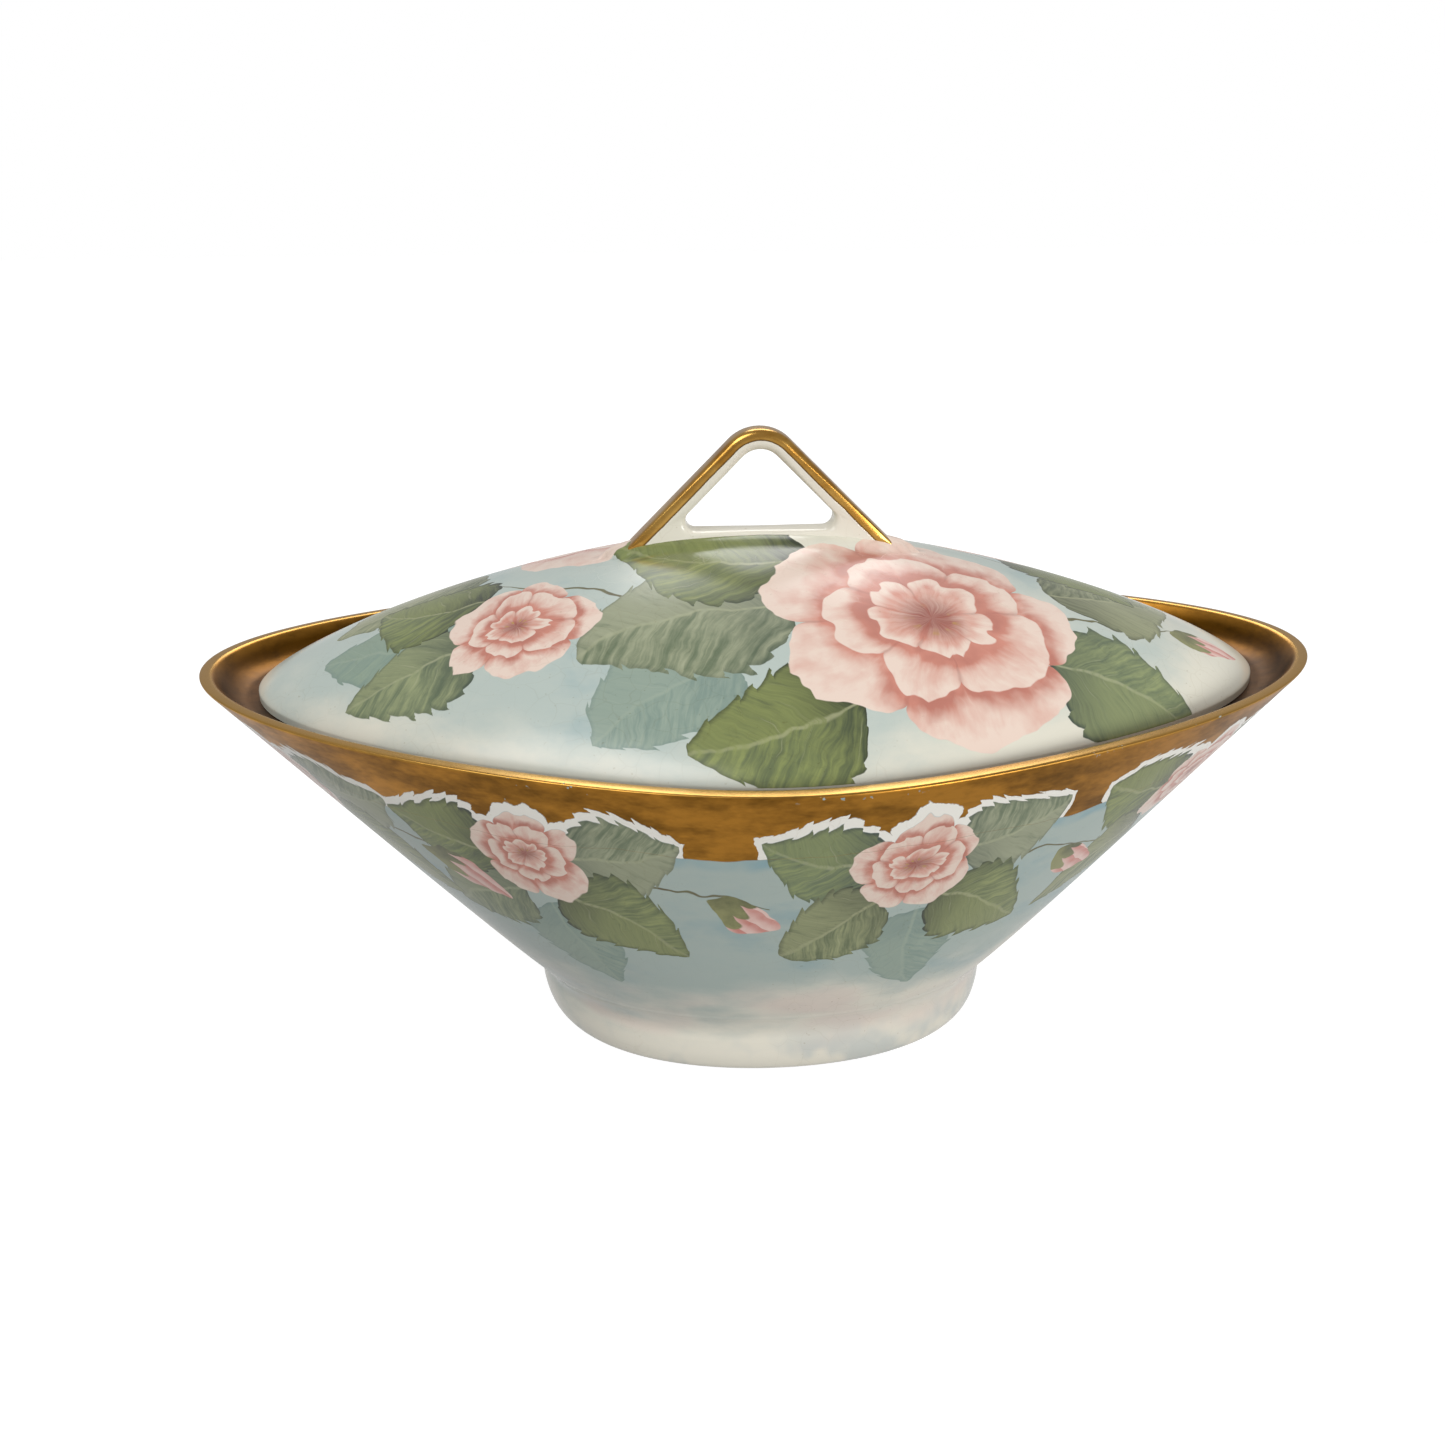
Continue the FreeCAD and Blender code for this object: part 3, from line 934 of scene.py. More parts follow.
class GlazeSurface(Effect):
    """Fired glaze: faint craze lines, gentle waves and a changing polish."""

    name = "Glaze"
    inputs = (("Colour", COLOUR), ("Craze", NUMBER), ("Softness", NUMBER))
    outputs = (("Colour", COLOUR), ("Roughness", NUMBER), ("Height", NUMBER))
    CRAZE_TINT = srgb(196, 184, 158)
    CELLS = 210.0                # craze cells in one metre
    BEND, BEND_REACH = 120.0, 0.006
    PATCH, WAVE, SPECK = 22.0, 55.0, 1500.0     # crazed patches, waves and specks in one metre
    POLISH = 0.07                # roughness of the clean glaze

    def build(self, graph: Graph, sources: bpy.types.NodeOutputs) -> dict[str, object]:
        """Craze from cell edges, bent by noise, and specks of kiln dust."""
        where = graph.place()
        bend = graph.clouds(where, self.BEND, 2.0, 0.5)
        shifted = graph.node("ShaderNodeVectorMath", operation="MULTIPLY_ADD")
        graph.feed(shifted.inputs[0], bend["Color"])
        shifted.inputs[1].default_value = (self.BEND_REACH,) * 3
        graph.feed(shifted.inputs[2], where)
        cells = graph.node("ShaderNodeTexVoronoi", feature="DISTANCE_TO_EDGE")
        graph.feed(cells.inputs["Vector"], shifted.outputs[0])
        cells.inputs["Scale"].default_value = self.CELLS
        line = Signal(graph, cells.outputs["Distance"]).step(0.030, 0.0)
        patch = graph.noise(where, self.PATCH, 2.0)
        craze = line * patch.step(0.42, 0.62) * Signal(graph, sources["Craze"])
        wave = graph.noise(where, self.WAVE, 2.0)
        speck = graph.noise(where, self.SPECK, 0.0).step(0.80, 0.84) * patch.step(0.4, 0.6)
        colour = graph.shade(sources["Colour"], graph.most(craze, speck * 0.35), self.CRAZE_TINT)
        return {
            "Colour": colour,
            "Roughness": self.POLISH + wave * 0.10 + craze * 0.2 + Signal(graph, sources["Softness"]),
            "Height": wave - craze * 0.12,
        }


LEAF, BLOSSOM, BUD, STEM = LeafPaint(), BlossomPaint(), BudPaint(), StemPaint()
WASH, GILT, GLAZE = WashPaint(), GiltSurface(), GlazeSurface()
PAINT_ORDER = (                  # motif, its layer and how far it fades into the wash
    (LEAF, "leaf_shadow", 0.60), (STEM, "stem", 0.0), (STEM, "stem_other", 0.0),
    (LEAF, "leaf_behind", 0.10), (LEAF, "leaf_between", 0.0), (LEAF, "leaf_nearer", 0.0),
    (LEAF, "leaf_front", 0.0), (BUD, "bud", 0.0), (BLOSSOM, "blossom", 0.0),
)

PORCELAIN = srgb(236, 231, 216)
CREAM = srgb(240, 235, 219)
GOLD = srgb(178, 124, 48)
DARK_GOLD = srgb(112, 76, 26)
BRIGHT_GOLD = srgb(214, 168, 88)
# tint of the painted shade on the gold inside the rim
SHADED_GOLD = srgb(150, 142, 104)


@dataclass(frozen=True)
class Finish:
    """A finish of the dish. Each kind fills in surface().

    Attributes:
        name: material name.
        glaze_ior: index of refraction of the glaze.
        bump: depth of the surface's waves, in metres.
    """

    name: str
    glaze_ior: float = 1.5
    bump: float = 0.00012

    def surface(self, graph: Graph) -> dict[str, object]:
        """What feeds the shader: Base Color, Metallic, Roughness and Height."""
        raise NotImplementedError

    @staticmethod
    def glazed(graph: Graph, colour: object, craze: float, softness: float) -> dict[str, object]:
        """Lays glaze over a colour.

        Args:
            graph: the material's graph.
            colour: what shows through the glaze.
            craze: how much its craze lines show.
            softness: roughness on top of a clean polish.

        Returns:
            What feeds the shader.
        """
        glaze = GLAZE.use(graph, Colour=colour, Craze=craze, Softness=softness)
        return {
            "Base Color": glaze["Colour"],
            "Roughness": glaze["Roughness"],
            "Height": glaze["Height"],
        }

    @staticmethod
    def gilded(
        graph: Graph, glazed: dict[str, object], gold: Signal, colour: object, roughness: Signal,
        relief: Signal | float,
    ) -> dict[str, object]:
        """Lays gold over glaze.

        Args:
            graph: the material's graph.
            glazed: what glazed() returned.
            gold: where the gold lies.
            colour, roughness: those of the gold.
            relief: how far it stands out of the glaze.

        Returns:
            What feeds the shader.
        """
        gloss = Signal(graph, glazed["Roughness"])
        return {
            "Base Color": graph.mix(gold, glazed["Base Color"], colour),
            "Metallic": gold,
            "Roughness": gloss + (roughness - gloss) * gold,
            "Height": Signal(graph, glazed["Height"]) + gold * relief,
        }

    def material(self) -> bpy.types.Material:
        """Builds the material."""
        material = bpy.data.materials.new(self.name)
        material.use_nodes = True
        graph = Graph(material.node_tree)
        shader = material.node_tree.nodes["Principled BSDF"]
        feeds = self.surface(graph)
        bump = graph.node("ShaderNodeBump")
        bump.inputs["Distance"].default_value = self.bump
        graph.feed(bump.inputs["Height"], feeds.pop("Height"))
        graph.feed(shader.inputs["Normal"], bump.outputs["Normal"])
        shader.inputs["IOR"].default_value = self.glaze_ior
        for name, value in feeds.items():
            graph.feed(shader.inputs[name], value)
        return material


@dataclass(frozen=True)
class PlainGlaze(Finish):
    """Clear glaze on white porcelain."""

    def surface(self, graph: Graph) -> dict[str, object]:
        """White body under crazed glaze."""
        return self.glazed(graph, PORCELAIN, craze=0.12, softness=0.05)


def painted(graph: Graph, ground: object) -> tuple[object, Signal, Signal]:
    """Lays every layer of motifs over a ground.

    Args:
        graph: the material's graph.
        ground: colour under the motifs.

    Returns:
        The painted colour, where there is paint, and where the gilding is held back.
    """
    grain = graph.noise(graph.place(), 260.0, 3.0, 0.6)
    wander = graph.clouds(graph.place(), 55.0, 3.0, 0.55)
    colour = ground
    covers, reserves = [], []
    for effect, layer, fading in PAINT_ORDER:
        chart = graph.attribute(layer)
        paint = effect.use(
            graph, Chart=chart.outputs["Vector"], Size=chart.outputs["Alpha"], Grain=grain,
            Wander=wander["Color"], Fading=fading,
        )
        covers.append(Signal(graph, paint["Cover"]))
        reserves.append(Signal(graph, paint["Reserve"]))
        colour = graph.mix(covers[-1], colour, paint["Colour"])
    return colour, graph.most(*covers), graph.most(*reserves)


@dataclass(frozen=True)
class FadingWash:
    """Wash of the bowl and its foot: blue above, cream with a pink flush towards the table.

    Each pair of heights, in metres, is where a change starts and where it is complete.
    """

    tint: Colour = srgb(178, 192, 185)
    pooled: Colour = srgb(146, 174, 178)
    flush: Colour = srgb(228, 208, 198)
    thinning: Span = (0.044, 0.010)      # the blue thins out down to the neck
    baring: Span = (0.012, 0.003)        # the foot turns bare
    tip_wash_and_shade: Span = (0.030, 0.014)       # low down, more wash towards the tips, partly painted shade that darkens the neck's ends
    flushing: Span = (0.032, 0.018)      # the flush comes in
    paling: Span = (0.003, 0.010)        # and goes again at the table
    neck_thinness: float = 0.10          # how thin the brush left it at the neck

    def colour(self, graph: Graph, thinness: Signal | float) -> object:
        """Lays the wash.

        Args:
            graph: the material's graph.
            thinness: how thin the brush left it, before it runs out downwards.

        Returns:
            The ground colour.
        """
        x, y, z = graph.split(graph.place())
        runs_out = z.step(*self.thinning) * 0.18 + z.step(*self.baring) * 0.22
        # more blue-grey wash towards the tips low down: partly the wash's own spread, partly painted shade
        runs_out = runs_out - abs(x) * 2.0 * z.step(*self.tip_wash_and_shade)
        wash = WASH.use(graph, Tint=self.tint, Pooled_Tint=self.pooled, Bare=CREAM,
                        Thinness=runs_out + thinness)
        flush = graph.noise(graph.vector(x, y, z * 2.4), 31.0, 2.0, 0.5).step(0.50, 0.66)
        flush = flush * z.step(*self.flushing) * z.step(*self.paling)
        return graph.mix(flush * 0.55, wash["Colour"], self.flush)


FADING_WASH = FadingWash()


@dataclass(frozen=True)
class LidGlaze(Finish):
    """Painted sprays on a pale blue and cream wash; plain under the lid."""

    thin_edge: Span = (0.084, 0.0735)    # heights between which it thins towards the edge, m
    thin_crown: Span = (0.096, 0.1045)   # and towards the crown
    tint: Colour = srgb(192, 204, 197)
    pooled: Colour = srgb(158, 184, 186)
    bare: Colour = srgb(232, 229, 213)

    def surface(self, graph: Graph) -> dict[str, object]:
        """Wash, motifs and glaze, with the wash creamier to the right, at the edge and on the crown."""
        x, _, z = graph.split(graph.place())
        low = z.step(*self.thin_edge) * 0.24
        high = z.step(*self.thin_crown) * 0.30
        wash = WASH.use(graph, Tint=self.tint, Pooled_Tint=self.pooled, Bare=self.bare,
                        Thinness=x * 1.4 + low + high + 0.03)
        colour, _, _ = painted(graph, wash["Colour"])
        outside = Signal(graph, graph.attribute("painted").outputs["Fac"])
        return self.glazed(graph, graph.mix(outside, PORCELAIN, colour), craze=0.14, softness=0.12)


@dataclass(frozen=True)
class BowlGlaze(Finish):
    """Gilded rim with leaves held back in white, over a wash that fades to cream."""

    reserve_white: Colour = srgb(252, 249, 240)
    stroke: Colour = srgb(128, 168, 180)
    band: float = 16.0           # gilding below the rim outside, mm
    inside_band: float = -16.5   # and down to the ledge inside
    stroke_band: Span = (3.4, 1.4)       # brush stroke that fades out below the gilding
    lip: Span = (2.2, 0.3)       # from here to the crest the gold is worn
    polish_and_highlight: Span = (1.9, 0.9)  # and bright: a painted highlight, where the gold is also smoother
    chipped: tuple[Span, Span] = ((0.9, 1.3), (3.4, 2.2))    # belt of chips under the lip
    inside_shade: Span = (-0.8, -5.0)       # painted shade: inside, the gold darkens on the way down
    lip_polish: float = 0.12     # how much smoother the bright gold is

    def surface(self, graph: Graph) -> dict[str, object]:
        """The station attribute is the way from the lip: positive outside, negative inside."""
        station = Signal(graph, graph.attribute("station").outputs["Fac"])
        wobble = graph.noise(graph.place(), 38.0, 3.0) - 0.5
        outer = (station + wobble * 5.0).step(self.band + EDGE, self.band)
        inner = (station + wobble * 0.8).step(self.inside_band, self.inside_band + EDGE)
        outside = station.step(0.0, 0.4)
        ground, cover, reserve = self.ground(graph, station, outside)
        held_back = reserve * outer * outside
        unpainted = 1.0 - cover
        below = [self.band + drop for drop in self.stroke_band]
        stroke = (station + wobble * 7.0).step(*below) * outside
        stroke = stroke * graph.noise(graph.place(), 48.0, 3.0, 0.6).step(0.40, 0.60) * unpainted
        colour = graph.mix(stroke * 0.7, ground, self.stroke)
        colour = graph.mix(held_back * unpainted, colour, self.reserve_white)
        gilt = GILT.use(graph, Gold=GOLD, Dark_Gold=DARK_GOLD, Wear=abs(station).step(*self.lip) * 0.17)
        chips = graph.noise(graph.place(), 700.0, 2.0, 0.6).step(0.66, 0.68) * wobble.step(-0.02, 0.06)
        chips = chips * station.step(*self.chipped[0]) * station.step(*self.chipped[1])
        gold = outer * inner * (1.0 - held_back) * (1.0 - graph.most(Signal(graph, gilt["Worn"]), chips))
        # painted shade: the gold inside the rim darkens on the way down
        inside_shade = graph.shade(gilt["Colour"], station.step(*self.inside_shade), SHADED_GOLD)
        # painted highlight: the gold lightens towards the crest of the lip, where it is also smoother
        polish_and_highlight = abs(station).step(*self.polish_and_highlight)
        return self.gilded(
            graph, self.glazed(graph, colour, craze=0.12, softness=0.10), gold,
            colour=graph.mix(polish_and_highlight * 0.75, inside_shade, BRIGHT_GOLD),
            roughness=Signal(graph, gilt["Roughness"]) - polish_and_highlight * self.lip_polish,
            relief=0.35 + Signal(graph, gilt["Height"]) * 0.25,
        )

    @staticmethod
    def ground(graph: Graph, station: Signal, outside: Signal) -> tuple[object, Signal, Signal]:
        """Wash and motifs outside, white porcelain inside.

        Args:
            graph: the material's graph.
            station: the way from the lip.
            outside: 1 on the outside.

        Returns:
            The colour, where there is paint, and where the gilding is held back.
        """
        thinness = graph.least((station - 52.0) * 0.010, FADING_WASH.neck_thinness)
        wash = FADING_WASH.colour(graph, thinness)
        return painted(graph, graph.mix(outside, PORCELAIN, wash))


@dataclass(frozen=True)
class FootGlaze(Finish):
    """The bowl's wash as it runs out over the foot, with grey-blue dabs and a faint lustre."""

    dab: Colour = srgb(196, 203, 200)
    dabbed: Span = (0.014, 0.004)        # heights between which the dabs come in, m
    lustre: float = 0.35

    def surface(self, graph: Graph) -> dict[str, object]:
        """Wash, and soft dabs that run out where the ring meets the bowl."""
        _, _, z = graph.split(graph.place())
        dabs = graph.noise(graph.place(), 60.0, 3.0, 0.6)
        wash = FADING_WASH.colour(graph, FADING_WASH.neck_thinness)
        colour = graph.mix(dabs.step(0.48, 0.68) * z.step(*self.dabbed) * 0.7, wash, self.dab)
        return self.glazed(graph, colour, craze=0.12, softness=0.03) | {"Coat Weight": self.lustre}


@dataclass(frozen=True)
class HandleGilt(Finish):
    """Gold on the outside and bevels of the handle, white glaze on its inner faces."""

    outline: Colour = srgb(104, 74, 34)
    shore: Span = (0.45, 0.48)           # where the gold begins
    outlined: Span = (0.58, 0.48)        # and where it is darker along that edge
    polish: float = 0.14                 # how much smoother it is than the rim's

    def surface(self, graph: Graph) -> dict[str, object]:
        """The gilding attribute runs from 0 inside the loop to 1 outside it."""
        gilding = Signal(graph, graph.attribute("gilding").outputs["Fac"])
        wobble = graph.noise(graph.place(), 160.0, 2.0) - 0.5
        gilt = GILT.use(graph, Gold=BRIGHT_GOLD, Dark_Gold=GOLD, Wear=0.0)
        shore = gilding + wobble * 0.10
        return self.gilded(
            graph, self.glazed(graph, PORCELAIN, craze=0.1, softness=0.06), shore.step(*self.shore),
            colour=graph.mix(shore.step(*self.outlined), gilt["Colour"], self.outline),
            roughness=Signal(graph, gilt["Roughness"]) - self.polish,
            relief=0.35,
        )


# --- pieces ---------------------------------------------------------------------
def store_number(mesh: bpy.types.Mesh, name: str, values: np.ndarray) -> None:
    """Stores one number for each vertex; vertices past the end of values get the last one."""
    full = np.full(len(mesh.vertices), values[-1], np.float32)
    full[:len(values)] = values
    mesh.attributes.new(name, "FLOAT", "POINT").data.foreach_set("value", full)


def dress(piece: bpy.types.Object, finish: Finish, body: str, node: str) -> None:
    """Gives a piece its finish and its body, and hides the CAD part that it stands for.

    Args:
        piece: the object.
        finish: what it is finished with.
        body: CAD body that it moves with.
        node: CAD node that it stands for.
    """
    piece.data.materials.append(finish.material())
    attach(piece, body)
    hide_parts(node)
    log.info("%s: %d vertices on %s", piece.name, len(piece.data.vertices), body)


@dataclass
class Bowl:
    """Boat-shaped bowl with a flared rim and a ledge for the lid."""

    foot_height: float = 11.0
    waist_length: float = 101.6
    waist_width: float = 93.4
    rim_length: float = 242.3
    rim_width: float = 145.0
    rim_height: float = 75.0
    tip_rise: float = 2.7
    bow: Half = (0.93, 0.80)             # how the wall curves out, towards the tips and the sides
    flare_bow: Half = (0.50, 0.39)       # and how the flare inside the rim does
    floor_thickness: float = 5.5
    lip_thickness: float = 3.0
    lip_radius: float = 0.8
    end_wall: float = 5.4
    side_wall: float = 4.2
    ledge_drop: float = 3.0
    lid_inset: Half = (12.5, 7.2)        # lid's edge inside the rim, at the tips and at mid length
    lid_gap: Half = (1.7, 1.2)           # between the lid's edge and the flare
    ledge_width: Half = (7.4, 4.2)
    wall_steps: int = 48
    lip_steps: int = 4
    flare_steps: int = 10
    well_steps: int = 7

    WELL_DROPS = (1.0, 2.2)              # straight part of the well, below the ledge
    WELL_BANDS = (0.78, 0.55, 0.30)      # levels of its wall, in shares of the way up from the floor
    WELL_ROLL = ((5.0, 8.2, 6.4), (1.6, 12.0, 9.6), (0.0, 18.0, 15.0))   # over the floor, inwards
    REPEATS = 8                          # of the garland round the rim
    PAINTER_SEED = 11

    @property
    def lid_half(self) -> Half:
        """Half size of the lid that the ledge takes."""
        return self.rim_length / 2 - self.lid_inset[0], self.rim_width / 2 - self.lid_inset[1]

    @property
    def ledge_half(self) -> Half:
        """Half size over the ledge."""
        return self.lid_half[0] + self.lid_gap[0], self.lid_half[1] + self.lid_gap[1]

    @property
    def well_half(self) -> Half:
        """Half size of the mouth of the well."""
        return self.ledge_half[0] - self.ledge_width[0], self.ledge_half[1] - self.ledge_width[1]

    @property
    def tip_height(self) -> float:
        """Height of the rim at the two tips."""
        return self.rim_height + self.tip_rise

    @property
    def ledge_z(self) -> float:
        """Height of the ledge."""
        return self.rim_height - self.ledge_drop

    def form(self, z: Spread, end_wall: float, side_wall: float) -> tuple[tuple[Spread, Spread], Shares]:
        """Half size and shares of the wall at a height, moved in by a wall thickness.

        Args:
            z: height.
            end_wall, side_wall: how far in, at the tips and at mid length.

        Returns:
            Half length and half width, and the shares of the outline.
        """
        up = np.clip((z - self.foot_height) / (self.tip_height - self.foot_height), 0, None)
        half_length = self.waist_length / 2 + (self.rim_length - self.waist_length) / 2 * up**self.bow[0]
        up = np.clip((z - self.foot_height) / (self.rim_height - self.foot_height), 0, None)
        half_width = self.waist_width / 2 + (self.rim_width - self.waist_width) / 2 * up**self.bow[1]
        shares = FOOT_SHARES.towards(RIM_SHARES, np.minimum(up, 1.0))
        return (half_length - end_wall, half_width - side_wall), shares

    def outer(self, z: np.ndarray, inwards: float = 0.0) -> np.ndarray:
        """One row of the outside of the wall, moved in by a distance, at a height for each column."""
        half, shares = self.form(z, inwards, inwards)
        return shares.outline(half, z)

    def rim_line(self) -> np.ndarray:
        """Height of the rim for each column."""
        z = np.full(COLUMNS, self.rim_height)
        for _ in range(4):
            z = self.rim_height + self.tip_rise * (self.outer(z)[:, 0] / (self.rim_length / 2)) ** 2
        return z

    def flare(self, z: np.ndarray) -> np.ndarray:
        """One row of the flared inside of the rim."""
        up = np.clip((z - self.ledge_z) / (self.tip_height - self.ledge_z), 0, 1)
        lip_end = self.rim_length / 2 - self.lip_thickness
        lip_side = self.rim_width / 2 - self.lip_thickness
        half_length = self.ledge_half[0] + (lip_end - self.ledge_half[0]) * up**self.flare_bow[0]
        half_width = self.ledge_half[1] + (lip_side - self.ledge_half[1]) * up**self.flare_bow[1]
        return RIM_SHARES.outline((half_length, half_width), z)

    def wall_rows(self) -> list[np.ndarray]:
        """Outside of the wall, from the foot up to just under the lip."""
        top = self.rim_line() - self.lip_radius
        return [
            self.outer(self.foot_height + (top - self.foot_height) * i / self.wall_steps)
            for i in range(self.wall_steps + 1)
        ]

    def lip_rows(self) -> list[np.ndarray]:
        """Rounded lip, from the outside over to the inside."""
        rim = self.rim_line()
        low = rim - self.lip_radius
        outer_low, outer_corner = self.outer(low), self.outer(rim)
        inner_low, inner_corner = self.flare(low), self.flare(rim)
        way = inner_corner - outer_corner
        step = way / np.linalg.norm(way, axis=1, keepdims=True) * self.lip_radius
        crest = [outer_corner + step, (outer_corner + inner_corner) / 2, inner_corner - step]
        rows = rounded(outer_low, outer_corner, crest[0], self.lip_steps) + crest
        return rows + rounded(crest[2], inner_corner, inner_low, self.lip_steps)

    def flare_rows(self) -> list[np.ndarray]:
        """Inside of the rim, down to the ledge."""
        top = self.rim_line() - self.lip_radius
        shares_down = [(1 - i / self.flare_steps) ** 2 for i in range(self.flare_steps)]
        return [self.flare(self.ledge_z + (top - self.ledge_z) * share) for share in shares_down]

    def well_levels(self) -> list[Level]:
        """Levels of the hollow below the ledge, from the top down."""
        floor = self.foot_height + self.floor_thickness
        levels = [RIM_SHARES.level(self.well_half, self.ledge_z - drop) for drop in self.WELL_DROPS]
        inner = [(floor + (self.ledge_z - floor) * part, self.end_wall, self.side_wall)
                 for part in self.WELL_BANDS]
        inner += [(floor + rise, end, side) for rise, end, side in self.WELL_ROLL]
        for z, end, side in inner:
            half, shares = self.form(z, end, side)
            levels.append(shares.level(half, z))
        return levels

    def build(self) -> None:
        """Makes, paints and dresses the bowl."""
        base = self.outer(np.full(COLUMNS, self.foot_height))
        middle = np.array([0.0, 0.0, self.foot_height])
        underside = [middle + (base - middle) * share for share in (0.03, 0.3, 0.6, 0.85, 0.97)]
        wall = self.wall_rows()
        lip = self.lip_rows()
        ledge_outer = RIM_SHARES.outline(self.ledge_half, self.ledge_z)
        ledge_inner = RIM_SHARES.outline(self.well_half, self.ledge_z)
        well = smooth_rows(self.well_levels(), self.well_steps)
        before_edge = ledge_outer + (ledge_inner - ledge_outer) * 0.86
        ledge = [ledge_outer, (ledge_outer + ledge_inner) / 2, before_edge]
        ledge += rounded(before_edge, ledge_inner, well[0], 3)
        floor = well[-1]
        centre = np.array([0.0, 0.0, floor[0, 2]])
        bottom = [centre + (floor - centre) * share for share in (0.97, 0.8, 0.5, 0.2, 0.03)]
        rows = underside + wall + lip + self.flare_rows() + ledge + well + bottom
        piece = Skin("bowl_porcelain", rows).mesh_object()
        self.store_stations(piece, rows, len(underside) + len(wall) + len(lip) // 2)
        self.paint(piece, wall, len(underside))
        dress(piece, BowlGlaze("bowl_painted_glaze"), "base", "bowl")

    @staticmethod
    def store_stations(piece: bpy.types.Object, rows: list[np.ndarray], crest: int) -> None:
        """Stores how far each vertex is from the crest of the lip, along the surface."""
        grid = np.array(rows)
        steps = np.linalg.norm(np.diff(grid, axis=0), axis=2)
        travelled = np.vstack([np.zeros((1, COLUMNS)), np.cumsum(steps, axis=0)])
        store_number(piece.data, "station", (travelled[crest] - travelled).ravel())

    def paint(self, piece: bpy.types.Object, wall: list[np.ndarray], first_row: int) -> None:
        """Garland that runs round under the rim, a blossom and a bud to each repeat."""
        canvas = WallCanvas(piece, wall, first_row)
        pick = random.Random(self.PAINTER_SEED)
        for i in range(self.REPEATS):
            middle = (i + 0.38) / self.REPEATS + pick.uniform(-0.008, 0.008)
            # motif, how far on along the rim, drop below it, heading, size and seed
            sprig = (
                (Motif.BLOSSOM, 0.000, 18.0, pick.uniform(0, 72), 12.5, pick.random()),
                (Motif.LEAF, 0.014, 17.5, 14 + pick.uniform(-6, 8), 25.0, 0.25),
                (Motif.LEAF, -0.014, 18.0, 166 + pick.uniform(-8, 6), 24.0, 0.70),
                (Motif.LEAF, 0.009, 27.0, -30 + pick.uniform(-8, 8), 27.0, 0.60),
                (Motif.LEAF, -0.010, 28.0, 222 + pick.uniform(-8, 8), 25.0, 0.45),
                (Motif.SHADOW_LEAF, 0.004, 31.0, 284 + pick.uniform(-8, 8), 24.0, 0.30),
                (Motif.STEM, 0.020, 24.0, -6.0, 36.0, 0.30),
                (Motif.BUD, 0.063, 25.5, -34 + pick.uniform(-10, 10), 17.0, pick.random()),
            )
            for motif, onward, drop, heading, size, seed in sprig:
                canvas.paint(Mark(motif, (middle + onward, drop), heading, size, seed))
        canvas.finish()


@dataclass
class FootRing:
    """Oval ring that the dish stands on, with a soft bead."""

    height: float = 11.0
    half_length: float = 49.5
    half_width: float = 45.5
    bead: float = 1.9
    wall: float = 5.2
    draft: float = 0.8
    neck: float = 4.0            # height over which the ring's glaze flows into the bowl

    def level(self, out: float, z: float) -> Level:
        """A level of the ring, moved out from its resting face."""
        return FOOT_SHARES.level((self.half_length + out, self.half_width + out), z)

    def build(self) -> None:
        """Makes and dresses the foot ring."""
        swell = ((0.0, 0.0), (0.10, 0.62), (0.32, 0.94), (0.52, 1.0), (0.72, 0.97))
        rows = smooth_rows([self.level(self.bead * out, self.height * up) for up, out in swell], 4)
        bowl = Bowl()
        corner = bowl.outer(np.full(COLUMNS, self.height))
        joined = bowl.outer(np.full(COLUMNS, self.height + self.neck), -0.03)
        rows += rounded(rows[-1], corner, joined, 10) + [joined]
        rows.append(bowl.outer(np.full(COLUMNS, self.height + self.neck + 0.6), 0.1))
        rows.append(bowl.outer(np.full(COLUMNS, self.height + self.neck), 1.2))
        inside = [self.level(-self.wall - self.draft * up, self.height * up) for up in (1.0, 0.5, 0.06)]
        rows += smooth_rows(inside, 4)
        rest = self.level(-self.wall + 0.5, 0.0)
        rows += [ring(*rest.numbers()), ring(*self.level(-0.5, 0.0).numbers())]
        piece = Skin("foot_ring_porcelain", rows, loops_back=True).mesh_object()
        dress(piece, FootGlaze("foot_lustre_glaze"), "base", "foot_ring")


